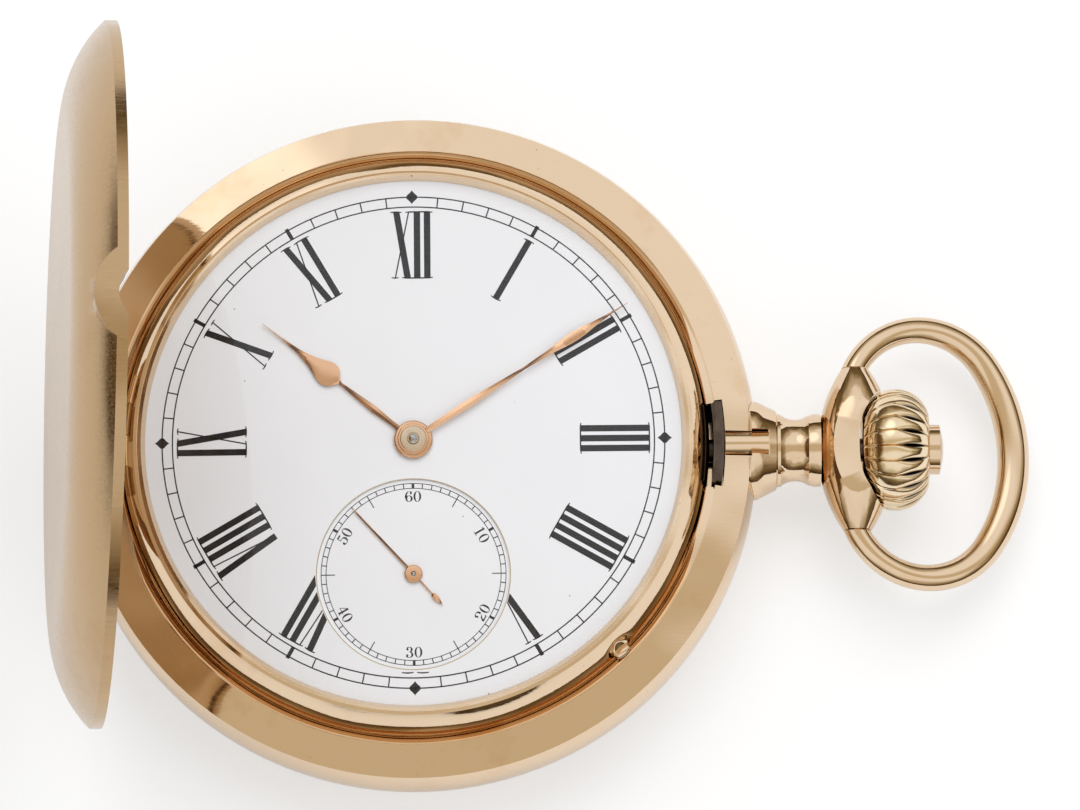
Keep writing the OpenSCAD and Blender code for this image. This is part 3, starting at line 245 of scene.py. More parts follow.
@dataclass(frozen=True)
class Metal(Coat):
    """A plain polished, blued or gilt metal, with a grain of 1.4 mm where none is given."""

    name: str
    body: str
    shade: str
    roughness: float
    grain: float = 700.0
    bump: float = 0.08
    bump_deep: float = 0.00003

    def shader(self, tree: Tree, where: Socket) -> Node:
        """Add two close colours mixed by noise, with a matching bump."""
        grain = noise(tree, where, self.grain, 5.0)
        colour = blend(tree, grain, self.body, self.shade)
        gloss = spread(tree, grain, 0.3, 0.7, self.roughness * 0.8, self.roughness * 1.3)
        bump = relief(tree, grain, self.bump, self.bump_deep)
        return place(tree, "BsdfPrincipled",
                     {"Base Color": colour, "Roughness": gloss, "Normal": bump}, Metallic=1.0)


@dataclass(frozen=True)
class Enamel(Coat):
    """Fired white enamel: opaque glass with a wet gloss and the faintest waviness."""

    name: str = "white_enamel"
    body: str = "F5F6FA"
    shade: str = "EEEFF2"
    speck: str = "3A3734"

    def shader(self, tree: Tree, where: Socket) -> Node:
        """Add a near-white glossy body with a few dark firing specks."""
        # waves some 11 mm long
        wave = noise(tree, where, 90.0, 2.0)
        # specks of about 0.1 mm, one in each cell of some 3 mm
        cells = place(tree, "TexVoronoi", {"Vector": where}, Scale=330.0)
        speck = spread(tree, cells.outputs["Distance"], 0.012, 0.022, 0.8, 0.0)
        body = blend(tree, speck, blend(tree, wave, self.body, self.shade), self.speck)
        return place(tree, "BsdfPrincipled",
                     {"Base Color": body, "Normal": relief(tree, wave, 0.04, 0.0001)},
                     Roughness=0.12, IOR=1.5, Specular_IOR_Level=0.3)


@dataclass(frozen=True)
class Ink(Coat):
    """Vitreous paint fired into the enamel, a little uneven in tone. Its kind also serves for a
    tan hairline of painted shade at the sunk dial's step.
    """

    name: str = "fired_black"
    body: str = "17171A"
    shade: str = "26262B"

    def shader(self, tree: Tree, where: Socket) -> Node:
        """Add glossy paint in two close tones, clouded over 0.7 mm."""
        colour = blend(tree, noise(tree, where, 1500.0, 3.0), self.body, self.shade)
        return place(tree, "BsdfPrincipled", {"Base Color": colour},
                     Roughness=0.35, IOR=1.5, Specular_IOR_Level=0.2)


@dataclass(frozen=True)
class ClearGlass(Coat):
    """Polished mineral glass or ruby, which lets lamp light through as thin glass does."""

    name: str
    body: str = "FFFFFF"
    ior: float = 1.5
    gloss: float = 0.12

    def shader(self, tree: Tree, where: Socket) -> Node:
        """Add glass to the eye, and clear to the light that falls on the dial."""
        # the faintest dust, in patches of some 1.7 mm
        rough = spread(tree, noise(tree, where, 600.0, 2.0), 0.4, 0.8, 0.0, 0.02)
        glass = place(tree, "BsdfPrincipled", {"Roughness": rough},
                      Base_Color=tint(self.body), IOR=self.ior, Transmission_Weight=1.0,
                      Specular_IOR_Level=self.gloss)
        clear = place(tree, "BsdfTransparent", Color=tint(self.body))
        seen = place(tree, "LightPath").outputs["Is Camera Ray"]
        return place(tree, "MixShader", {0: seen, 1: clear, 2: glass})


class Finish(Enum):
    """Every finish on the watch, named for what it is."""

    CASE = PolishedGold("polished_rose_gold")
    # the lid is the case's gold painted darker and browner: painted shade standing in for the dim
    # reflections in the upright lid
    LID = PolishedGold("lid_rose_gold", body="C0A27C", stain="AA875C", roughness=0.2, wave=0.0002)
    INNER = PolishedGold("inner_rose_gold", body="DDB88C", roughness=0.1)
    # the crown's gold is painted lighter than the case's, standing in for the brighter light it
    # catches; its blue-grey colour is painted shade and reflection in the flute wells
    CROWN = PolishedGold("fluted_rose_gold", body="F0DCBC", roughness=0.1, soot="3C424E")
    HANDS = PolishedGold("hand_rose_gold", body="E2B48E", stain="C48C60", roughness=0.1,
                         wave=0.0)
    PALE = Metal("pale_gold_boss", "E4D3BE", "CDB79C", 0.22)
    # EDGE is painted shade: a tan hairline standing for the shaded step where the enamel drops to
    # the sunk seconds dial
    EDGE = Ink("sunk_step_painted_shade", "B9A682", "C9B896")
    DARK_STEEL = Metal("dark_spring_steel", "786A60", "3A322C", 0.32)
    STEEL = Metal("polished_steel", "B9BBBF", "9A9CA2", 0.18)
    BLUED = Metal("blued_steel", "2A3A78", "1C2450", 0.2)
    GILT = Metal("frosted_gilding", "E6CB86", "D6B46A", 0.38, grain=2600.0, bump=0.3)
    BRASS = Metal("polished_brass", "E2C27A", "D0A85C", 0.22)
    ENAMEL = Enamel()
    INK = Ink()
    CRYSTAL = ClearGlass("crystal_glass")
    RUBY = ClearGlass("ruby_jewel", body="C8284A", ior=1.76, gloss=0.5)

    @cache
    def material(self) -> bpy.types.Material:
        """Return this finish's material, made on first use."""
        return self.value.build()


# Meshes ---------------------------------------------------


@dataclass
class Shape:
    """Vertices and faces gathered from several grids, in millimetres."""

    points: list[np.ndarray] = field(default_factory=list)
    faces: list[np.ndarray] = field(default_factory=list)
    ends: list[list[int]] = field(default_factory=list)
    tones: list[np.ndarray] = field(default_factory=list)
    count: int = 0

    def grid(self, rows: np.ndarray, ring: bool = False, closed: bool = False,
             tone: np.ndarray | None = None) -> "Shape":
        """Add a grid of points as quads, whose last column joins the first.

        Args:
            rows: Points as (along, around, 3). Faces point outwards where around turns
                counter-clockwise seen against the direction of along.
            ring: Whether the last row joins the first.
            closed: Whether a flat face closes the first row and the last.
            tone: How much painted shade each point gets, growing with its depth in a flute, from 0
                to 1.

        Returns:
            This shape.
        """
        n, m = rows.shape[:2]
        ids = np.arange(n * m).reshape(n, m) + self.count
        if closed:
            self.ends += [ids[0, ::-1].tolist(), ids[-1].tolist()]
        self.tones.append(np.zeros(n * m) if tone is None else tone.reshape(-1))
        if ring:
            ids = np.concatenate([ids, ids[:1]])
        ids = np.concatenate([ids, ids[:, :1]], axis=1)
        quads = np.stack([ids[:-1, :-1], ids[:-1, 1:], ids[1:, 1:], ids[1:, :-1]], axis=-1)
        self.points.append(rows.reshape(-1, 3))
        self.faces.append(quads.reshape(-1, 4))
        self.count += n * m
        return self

    def prism(self, left: np.ndarray, right: np.ndarray, low: float, high: float) -> None:
        """Add a flat ribbon with a thickness: a box section carried from station to station.

        Args:
            left: Points of the left edge as (stations, 2).
            right: Points of the right edge.
            low: Underside.
            high: Top.
        """
        section = np.zeros((len(left), 4, 3))
        section[:, 0, :2] = section[:, 3, :2] = left
        section[:, 1, :2] = section[:, 2, :2] = right
        section[:, :2, 2] = low
        section[:, 2:, 2] = high
        self.grid(section, closed=True)

    def turned(self, profile: np.ndarray, centre: Pair = (0.0, 0.0), ring: bool = True,
               steps: int = 72) -> "Shape":
        """Add a turned part: a profile carried once round an upright axis.

        Each profile point (radius, height) gives the circle centre + radius (cos a, sin a).

        Args:
            profile: Points as (points, 2), upwards on the outside.
            centre: Where the axis stands.
            ring: Whether the profile is a loop; otherwise it starts and ends on the axis.
            steps: Points round the axis.

        Returns:
            This shape.
        """
        a = circle(steps)
        rows = np.zeros((len(profile), steps, 3))
        rows[..., :2] = (profile[:, :1, None] * np.stack([np.cos(a), np.sin(a)], axis=-1)
                         + np.array(centre))
        rows[..., 2] = profile[:, 1:]
        return self.grid(rows, ring=ring)

    def piece(self, name: str, finish: Finish, body: str, smooth_to: float = 35.0,
              stands_for: tuple[str, ...] = ()) -> None:
        """Turn the shape into an object that rides on a body.

        Args:
            name: Name of the object.
            finish: Its finish.
            body: The body that carries it.
            smooth_to: Edges sharper than this many degrees stay sharp.
            stands_for: Solids that it takes the place of.
        """
        points = np.concatenate(self.points) * MM
        faces = np.concatenate(self.faces).tolist() + self.ends
        mesh = bpy.data.meshes.new(name)
        mesh.from_pydata(points.tolist(), [], faces)
        # the tone attribute carries the painted shade of the crown's flute wells
        if any(part.any() for part in self.tones):
            shade = mesh.attributes.new("tone", "FLOAT", "POINT")
            shade.data.foreach_set("value", np.concatenate(self.tones))
        work = bmesh.new()
        work.from_mesh(mesh)
        bmesh.ops.remove_doubles(work, verts=work.verts, dist=1e-8)
        work.to_mesh(mesh)
        work.free()
        mesh.shade_smooth()
        mesh.set_sharp_from_angle(angle=math.radians(smooth_to))
        made = stand(name, mesh)
        mesh.materials.append(finish.material())
        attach(made, body)
        if stands_for:
            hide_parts(*stands_for)
        LOG.info("%s: %d faces in %s", name, len(faces), finish.value.name)


def heights(node: str) -> Pair:
    """Return a solid's lowest and highest point in millimetres."""
    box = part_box(node)
    return box[0][2] / MM, box[1][2] / MM


# Dial -----------------------------------------------------


@dataclass
class DialPrint:
    """Everything painted on the dial: minute track, hour numerals and the seconds circle."""

    top: float
    sunk: float
    hub: Pair = SECONDS_AXIS
    sub_r: float = 7.43
    clear_of_rim: float = 0.1
    paint: float = 0.012
    track: Pair = (18.6, 19.4)
    hours: Pair = (12.9, 18.2)
    seconds: Pair = (6.72, 7.1)
    long_second: float = 6.03
    figures_r: float = 6.08
    figure: float = 0.86
    bar: float = 0.5
    pitch: float = 0.785
    hair: float = 0.1
    diamond: float = 0.57
    turned_by: float = -0.3

    def ring(self, shape: Shape, r: float, width: float, z: float,
             centre: Pair = (0.0, 0.0)) -> None:
        """Add a circle line: a ribbon between two radii, closed on itself.

        Args:
            shape: The shape to add to.
            r: Middle radius.
            width: Line width.
            z: Height of the enamel.
            centre: Middle of the circle.
        """
        a = circle(360)
        unit = np.stack([np.cos(a), np.sin(a)], axis=-1)
        radii = np.array([r - width / 2, r + width / 2, r + width / 2, r - width / 2])
        rows = np.zeros((len(a), 4, 3))
        rows[..., :2] = unit[:, None] * radii[None, :, None] + np.array(centre)
        rows[..., 2] = np.array([z, z, z + self.paint, z + self.paint])
        shape.grid(rows[:, ::-1], ring=True)

    def outside(self, edge: np.ndarray) -> np.ndarray | None:
        """Shorten a straight edge so that it ends at the rim of the sunk seconds dial.

        The edge is a + t (b - a). It meets the rim where it is as far from the hub as the rim is,
        which is a quadratic in t.

        Args:
            edge: The two ends, as (2, 2).

        Returns:
            The part outside the rim, or None where there is none.
        """
        a, b = edge
        step, away = b - a, a - np.array(self.hub)
        rim = self.sub_r + self.clear_of_rim
        square, mixed = step @ step, step @ away
        inside = mixed * mixed - square * (away @ away - rim * rim)
        if inside <= 0:
            return edge
        near, far = (-mixed - math.sqrt(inside)) / square, (-mixed + math.sqrt(inside)) / square
        if far <= 0 or near >= 1:
            return edge
        if near <= 0 and far >= 1:
            return None
        return np.array([a + far * step, b]) if near <= 0 else np.array([a, a + near * step])

    def stroke(self, shape: Shape, at: float, path: np.ndarray, width: np.ndarray, z: float,
               centre: Pair = (0.0, 0.0), clear: bool = False) -> None:
        """Add one stroke of the pen, given in the upright frame of a sign on the dial.

        Args:
            shape: The shape to add to.
            at: Direction of the sign, in degrees clockwise from twelve.
            path: Points as (across to the right, distance from the middle).
            width: Full width at each point.
            z: Height of the enamel.
            centre: Middle of the circle.
            clear: Whether a straight stroke stops at the sunk seconds dial.
        """
        step = np.gradient(path, axis=0)
        side = np.stack([-step[:, 1], step[:, 0]], axis=-1)
        side /= np.linalg.norm(side, axis=1)[:, None] + 1e-9
        half = side * np.asarray(width)[:, None] / 2
        turn = math.radians(at + self.turned_by)
        across = np.array([math.cos(turn), -math.sin(turn)])
        up = np.array([math.sin(turn), math.cos(turn)])
        spin = np.stack([across, up])
        left, right = (path + half) @ spin + centre, (path - half) @ spin + centre
        if clear:
            left, right = self.outside(left), self.outside(right)
        if left is not None and right is not None:
            shape.prism(left, right, z, z + self.paint)

    def line(self, shape: Shape, at: float, a: Pair, b: Pair, width: float, z: float,
             centre: Pair = (0.0, 0.0), clear: bool = False) -> None:
        """Add a straight stroke from a to b, each as (across, distance from the middle)."""
        self.stroke(shape, at, np.array([a, b]), np.array([width, width]), z, centre, clear)

    def serif(self, shape: Shape, at: float, x0: float, x1: float, r: float, into: float) -> None:
        """Add a hairline serif from x0 to x1 whose ends curl away and whose middle thickens.

        Args:
            shape: The shape to add to.
            at: Direction of the numeral.
            x0: Left end.
            x1: Right end.
            r: Distance from the middle.
            into: 1 where the letter lies towards the middle, -1 where it lies outwards.
        """
        t = np.linspace(0.0, 1.0, 13)
        end = np.minimum(t, 1 - t) * (x1 - x0)
        lift = 0.05 * np.exp(-end / 0.12)
        path = np.stack([x0 + (x1 - x0) * t, r - into * (lift - 0.01)], axis=-1)
        width = self.hair * (0.75 + 0.35 * np.minimum(end / 0.4, 1))
        self.stroke(shape, at, path, width, self.top)

    def numeral(self, shape: Shape, at: float, letters: str, cut: bool) -> None:
        """Add a Roman hour, letter by letter, centred on its direction.

        Args:
            shape: The shape to add to.
            at: Direction in degrees clockwise from twelve.
            letters: Such as "VIII".
            cut: Whether the seconds dial cuts its foot away, and the serifs there with it.
        """
        low, high = self.hours
        wide = {"I": self.pitch, "V": 1.42, "X": 1.56}
        # across from the letter's middle: the outer and the inner end of the thick stroke and of
        # the thin one, with how far the thin one falls short, then the serifs at both ends
        drawn = {
            "I": ((0.0, 0.0), None, [(-0.43, 0.43)], [(-0.43, 0.43)]),
            "V": ((-0.41, 0.08), (0.45, 0.15, 0.4), [(-0.86, 0.02), (0.2, 0.7)], []),
            "X": ((-0.43, 0.43), (0.53, -0.53, 0.0), [(-0.88, -0.02), (0.28, 0.78)],
                  [(-0.82, -0.28), (0.0, 0.86)]),
        }
        x = -sum(wide[c] for c in letters) / 2
        spans: dict[int, list[Pair]] = {1: [], -1: []}
        for c in letters:
            mid = x + wide[c] / 2
            (a, b), thin, outer, inner = drawn[c]
            self.line(shape, at, (mid + a, high), (mid + b, low), self.bar, self.top, clear=cut)
            if thin:
                a, b, short = thin
                self.line(shape, at, (mid + a, high), (mid + b, low + short), self.hair, self.top,
                          clear=cut)
            spans[1] += [(mid + a, mid + b) for a, b in outer]
            spans[-1] += [(mid + a, mid + b) for a, b in inner]
            x += wide[c]
        for side in (1,) if cut else (1, -1):
            merged: list[list[float]] = []
            for a, b in sorted(spans[side]):
                if merged and a <= merged[-1][1] + 0.05:
                    merged[-1][1] = max(b, merged[-1][1])
                else:
                    merged.append([a, b])
            for a, b in merged:
                self.serif(shape, at, a, b, high if side > 0 else low, side)

    def hour_numerals(self) -> None:
        """Paint the hours. The sunk seconds dial leaves only the outer serifs of the sixth."""
        shape = Shape()
        for hour, letters in enumerate(["XII", "I", "II", "III", "IIII", "V", "VI", "VII", "VIII",
                                        "IX", "X", "XI"]):
            if letters != "VI":
                self.numeral(shape, 30.0 * hour, letters, cut=letters in ("V", "VII"))
        for x in (-0.62, 0.55):
            self.serif(shape, 180.0, x - 0.45, x + 0.45, self.hours[1], 1)
        shape.piece("hour_numerals", Finish.INK, "case", 20.0)

    def minute_track(self) -> None:
        """Paint two circles, sixty divisions, eight bold five-minute marks and four diamonds."""
        shape = Shape()
        low, high = self.track
        for r in self.track:
            self.ring(shape, r, self.hair, self.top)
        for minute in range(60):
            at = 6.0 * minute
            if minute % 15 == 0:
                t = np.linspace(0.0, 1.0, 15)
                bend = self.diamond * (1 - np.abs(2 * t - 1)) ** 1.35
                path = np.stack([0 * t, high + self.diamond * (2 * t - 1)], axis=-1)
                self.stroke(shape, at, path, 2 * np.minimum(bend, 0.41) + 0.004, self.top)
            elif minute % 5 == 0:
                self.line(shape, at, (0, low - 0.05), (0, high + 0.16), 0.3, self.top)
            else:
                self.line(shape, at, (0, low), (0, high), self.hair, self.top)
        shape.piece("minute_track", Finish.INK, "case", 20.0)

    def seconds_track(self) -> None:
        """Paint the seconds circle: two hairlines, sixty ticks, long ones at odd fives, and a tan
        hairline of painted shade at the sunk dial's step.
        """
        shape = Shape()
        z = self.sunk
        for r in self.seconds:
            self.ring(shape, r, 0.055, z, self.hub)
        for second in range(60):
            at = 6.0 * second
            (inner, outer), width = self.seconds, 0.075
            if second % 10 == 0:
                width = 0.2
            elif second % 5 == 0:
                inner = self.long_second
            self.line(shape, at, (0, inner), (0, outer), width, z, self.hub)
        shape.piece("seconds_track", Finish.INK, "case", 20.0)
        # a tan hairline of painted shade for the step down to the sunk seconds dial
        edge = Shape()
        self.ring(edge, self.sub_r + 0.02, 0.07, self.top, self.hub)
        edge.piece("seconds_step_painted_shade", Finish.EDGE, "case", 20.0)

    def digit(self, figure: str) -> list[Stroke]:
        """Give the pen strokes of a figure drawn with thick stems and hairline curves.

        Args:
            figure: One digit. It stands in a box 0.62 wide and 1 high, with its middle at 0.

        Returns:
            Each stroke as its path and its widths.
        """
        def arc(cx: float, cy: float, rx: float, ry: float, a0: float, a1: float,
                thick: float = 0.17, thin: float = 0.035) -> Stroke:
            """A piece of an ellipse whose pen is thick where it runs upright."""
            a = np.radians(np.linspace(a0, a1, 25))
            path = np.stack([cx + rx * np.cos(a), cy + ry * np.sin(a)], axis=-1)
            return path, thin + (thick - thin) * np.abs(np.cos(a)) ** 1.6

        def bar(x0: float, y0: float, x1: float, y1: float, width: float) -> Stroke:
            """A straight stroke."""
            return np.array([[x0, y0], [x1, y1]]), np.array([width, width])

        def dot(x: float, y: float) -> Stroke:
            """The round ball at the end of a curve."""
            t = np.linspace(-1.0, 1.0, 9)
            return np.stack([x + 0.09 * t, y + 0 * t], axis=-1), 0.18 * np.sqrt(1.001 - t * t)

        return {
            "0": [arc(0, 0, 0.24, 0.47, 0, 360)],
            "1": [bar(0.02, -0.46, 0.02, 0.48, 0.16), bar(-0.18, -0.48, 0.22, -0.48, 0.05),
                  bar(-0.18, 0.3, -0.02, 0.44, 0.05)],
            "2": [arc(-0.02, 0.22, 0.23, 0.26, 170, -25), arc(0.3, -0.62, 0.55, 0.62, 105, 168),
                  bar(-0.25, -0.44, 0.24, -0.44, 0.1), bar(0.24, -0.46, 0.26, -0.26, 0.05),
                  dot(-0.18, 0.2)],
            "3": [arc(-0.04, 0.25, 0.2, 0.22, 160, -90), arc(-0.04, -0.22, 0.25, 0.25, 90, -160),
                  dot(-0.19, 0.25), dot(-0.21, -0.26)],
            "4": [bar(0.1, -0.46, 0.1, 0.48, 0.16), bar(-0.3, -0.16, 0.28, -0.16, 0.05),
                  bar(-0.29, -0.16, 0.07, 0.46, 0.05), bar(-0.06, -0.48, 0.26, -0.48, 0.05)],
            "5": [arc(-0.03, -0.17, 0.26, 0.29, 120, -160), bar(-0.17, 0.06, -0.17, 0.46, 0.05),
                  bar(-0.18, 0.41, 0.2, 0.41, 0.13), dot(-0.21, -0.25)],
            "6": [arc(0.02, -0.19, 0.22, 0.27, 0, 360), arc(0.06, -0.05, 0.3, 0.52, 105, 190),
                  dot(0.17, 0.3), arc(0.08, 0.32, 0.13, 0.15, 20, 100)],
        }[figure]

    def seconds_figures(self) -> None:
        """Paint the tens of seconds, upright at the top and read from below at the bottom."""
        shape = Shape()
        for second in range(0, 60, 10):
            for column, figure in enumerate(str(second or 60)):
                for path, width in self.digit(figure):
                    path = path * self.figure * np.array([1.08, 1.0])
                    path[:, 0] += (column - 0.5) * 0.66
                    if 20 <= second <= 40:
                        path = -path
                    path[:, 1] += self.figures_r
                    self.stroke(shape, 6.0 * second, path, width * self.figure, self.sunk,
                                self.hub)
        shape.piece("seconds_figures", Finish.INK, "case", 20.0)

    def build(self) -> None:
        """Paint the whole dial."""
        self.minute_track()
        self.hour_numerals()
        self.seconds_track()
        self.seconds_figures()


# Bezel, crown, bow and hands ------------------------------


@dataclass
class Bezel:
    """The ring that holds the crystal: a rounded slope, a nail notch and a lip to lift it by."""

    outer: float = 22.9
    slope_in: float = 21.63
    foot_up: float = 0.85
    swell: float = 0.13
    crystal_r: float = 21.35
    crystal_deep: float = 0.47
    seat_r: float = 21.05
    mirror_r: float = 20.72
    bore: float = 21.15
    over_dial: float = 0.06
    rim_out: float = 22.14
    rim_up: float = 0.75
    skirt: float = 0.5
    skirt_up: float = 0.8
    notch_at: float = -45.6
    notch_half: float = 0.75
    notch_deep: float = 0.5
    notch_up: float = 1.55
    notch_tall: float = 0.5
    lip_r: float = 22.98
    lip_up: float = 0.82
    lip_half: Triple = (0.4, 0.75, 0.36)

    def build(self) -> None:
        """Turn the profile round the axis of the watch.

        The slope is a straight line pushed outwards by a sine. Near the notch its radius is less
        by a bell curve along the ring times another up the slope. The lip is a flattened ball.
        """
        low, top = heights("bezel")
        dial = heights("dial")[1]
        foot, over = low + self.foot_up, dial + self.over_dial
        t = np.linspace(0.0, 1.0, 16)
        push = self.swell * np.sin(math.pi * t)
        slope = np.stack([self.outer + (self.slope_in - self.outer) * t + push * 0.87,
                          foot + (top - 0.02 - foot) * t + push * 0.5], axis=-1)
        q = np.linspace(math.pi / 2, 0.0, 9)
        cove = np.stack([self.outer + self.skirt * (1 - np.sin(q)),
                         low + 0.05 + self.skirt_up * (1 - np.cos(q))], axis=-1)[::-1]
        profile = np.concatenate([
            [[self.outer, low], [self.outer + self.skirt, low]], cove, slope,
            [[self.crystal_r, top], [self.crystal_r, top - self.crystal_deep],
             [self.seat_r, top - self.crystal_deep], [self.mirror_r, over], [self.bore, over],
             [self.bore, dial - self.rim_up], [self.rim_out, dial - self.rim_up],
             [self.rim_out, low]]])
        a = circle(720)[None]
        at = math.radians(self.notch_at)
        off = (np.mod(a - at + math.pi, 2 * math.pi) - math.pi) * self.outer / self.notch_half
        rise = (profile[:, 1:] - low - self.notch_up) / self.notch_tall
        bell = np.exp(-off ** 2) * np.exp(-rise ** 2)
        edge = 2 + len(cove)
        bell[edge + len(slope):] = 0.0
        # the skirt fades out at the two springs, in the groove by the pendant and by the hinge
        shown = np.clip((np.abs(np.sin(a)) - 0.3) / 0.15, 0, 1)
        in_skirt = np.arange(len(profile))[:, None] < edge
        skirt = np.where(in_skirt, profile[:, :1] - self.outer, 0.0)
        radius = profile[:, :1] - self.notch_deep * bell - skirt * (1 - shown)
        rows = np.stack([radius * np.cos(a), radius * np.sin(a), profile[:, 1:] + 0 * a], axis=-1)
        ring = Shape().grid(rows, ring=True)
        u = circle(32)[None]
        v = np.linspace(-math.pi / 2, math.pi / 2, 17)[:, None]
        out = np.array([math.cos(at), math.sin(at), 0.0])
        aside = np.array([-math.sin(at), math.cos(at), 0.0])
        deep, wide, tall = self.lip_half
        ball = ((self.lip_r + deep * np.cos(v) * np.cos(u))[..., None] * out
                + (wide * np.cos(v) * np.sin(u))[..., None] * aside)
        ball[..., 2] = low + self.lip_up + tall * np.sin(v)
        ring.grid(ball)
        ring.piece("turned_bezel", Finish.CASE, "case", 35.0, ("bezel",))


@dataclass
class Crown:
    """The winding crown: a bun with rounded ridges and wells between them, darkened by painted
    shade.
    """

    flutes: int = 24
    per_flute: int = 14
    axis_z: float = 6.6
    middle_in: float = 2.6
    swell: float = 2.7
    deep: float = 2.05
    inner_r: float = 2.3
    bore: float = 0.91
    well_r: float = 2.0
    well_lip: float = 0.35
    well_x: float = 38.95
    shoulder_in: float = 2.5
    shoulder_long: float = 2.75
    shallow: float = 0.04
    deeper: float = 0.08

    def build(self) -> None:
        """Build the crown as one surface: distance along the axis by angle round it.

        The bun is a circle of radius swell about (middle, deep). Round the axis each ridge is the
        upper half of a rounded square, sunk by a depth that grows towards the shoulder.
        """
        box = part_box("crown")
        begin, end = box[0][0] / MM, box[1][0] / MM
        middle = begin + self.middle_in
        t = np.linspace(math.acos((middle - begin) / self.swell),
                        math.acos((middle - end) / self.swell), 37)
        bun = np.stack([middle - self.swell * np.cos(t), self.deep + self.swell * np.sin(t)],
                       axis=-1)
        profile = np.concatenate([
            [[begin, self.bore], [begin, self.inner_r]], bun,
            [[end, self.well_r + self.well_lip], [end, self.well_r],
             [self.well_x, self.well_r], [self.well_x, self.bore]]])
        x, r = profile[:, :1], profile[:, 1:]
        cut = np.zeros((len(profile), 1))
        cut[2:2 + len(bun)] = 1.0
        along = np.clip((x - begin - self.shoulder_in) / self.shoulder_long, 0, 1)
        lens = np.clip(np.sin(math.pi * along), 0, 1) ** 0.7
        a = circle(self.flutes * self.per_flute)[None]
        phase = (a * self.flutes / (2 * math.pi) + 0.5) % 1.0
        power = 5.0 - 3.0 * lens
        ridge = np.clip(1 - np.abs(2 * phase - 1) ** power, 0, 1) ** (1 / power)
        radius = r * (1 - cut * (self.shallow + self.deeper * lens) * (1 - ridge))
        rows = np.stack([x + 0 * a, radius * np.cos(a), self.axis_z + radius * np.sin(a)], axis=-1)
        # painted shade and reflection, strongest deep in the wells between the ridges over the
        # shoulder
        tone = cut * lens * np.clip((1 - ridge - 0.22) / 0.18, 0, 1)
        Shape().grid(rows, ring=True, tone=tone).piece(
            "fluted_crown", Finish.CROWN, "crown", 50.0, ("crown",))


@dataclass
class Bow:
    """The bow: one wide arc between two side arcs, with a wire that thins towards the ears."""

    pivot: Triple = (34.4, 0.0, 6.6)
    droop: float = 15.0
    reach: float = 12.9
    half: float = 9.9
    side: float = 6.2
    foot: float = 6.5
    thin: float = 0.95
    thick: float = 1.25

    def build(self) -> None:
        """Carry a circle along the three arcs.

        A point is centre + r (cos a N + sin a B), N across the wire in the bow's plane and B out
        of it. The rings near a foot slide along the wire until the last one lies flat on the ear.
        """
        c2y = self.half - self.side
        c2x = math.sqrt(self.side ** 2 - (self.foot - c2y) ** 2)
        turn = 2 * math.atan((self.reach - self.side - c2x) / c2y)
        wide = self.side + c2y / math.sin(turn)
        last = math.acos(-c2x / self.side)
        up = np.linspace(last, turn, 40)
        over = np.linspace(turn, -turn, 50)[1:-1]
        phi = np.concatenate([up, over, -up[::-1]])
        radius = np.concatenate([0 * up + self.side, 0 * over + wide, 0 * up + self.side])
        centre_x = np.concatenate([0 * up + c2x, 0 * over + self.reach - wide, 0 * up + c2x])
        centre_y = np.concatenate([0 * up + c2y, 0 * over, 0 * up - c2y])
        n = np.stack([np.cos(phi), np.sin(phi), 0 * phi], axis=-1)
        t = np.stack([np.sin(phi), -np.cos(phi), 0 * phi], axis=-1)
        b = np.array([0.0, 0.0, 1.0])
        spine = np.stack([centre_x + radius * np.cos(phi), centre_y + radius * np.sin(phi),
                          0 * phi], axis=-1)
        along = np.concatenate([[0.0], np.cumsum(np.linalg.norm(np.diff(spine, axis=0), axis=1))])
        near = np.minimum(along, along[-1] - along)
        grow = np.clip(near / near.max(), 0, 1)
        wire = (self.thin + (self.thick - self.thin) * grow * grow * (3 - 2 * grow))[:, None]
        a = circle(48)[None]
        fade = np.clip(1 - near / 1.6, 0, 1)[:, None]
        lean = np.where(fade > 0, n[:, 1:2] / np.where(fade > 0, t[:, 1:2], 1.0), 0.0)
        slide = -wire * np.cos(a) * lean * fade
        rows = (spine[:, None] + (wire * np.cos(a))[..., None] * n[:, None]
                + (wire * np.sin(a))[..., None] * b + slide[..., None] * t[:, None])
        droop = math.radians(self.droop)
        c, s = math.cos(droop), math.sin(droop)
        rows = rows @ np.array([[c, 0, -s], [0, 1, 0], [s, 0, c]]) + np.array(self.pivot)
        Shape().grid(rows, closed=True).piece("bow_wire", Finish.CASE, "bow", 40.0, ("bow",))


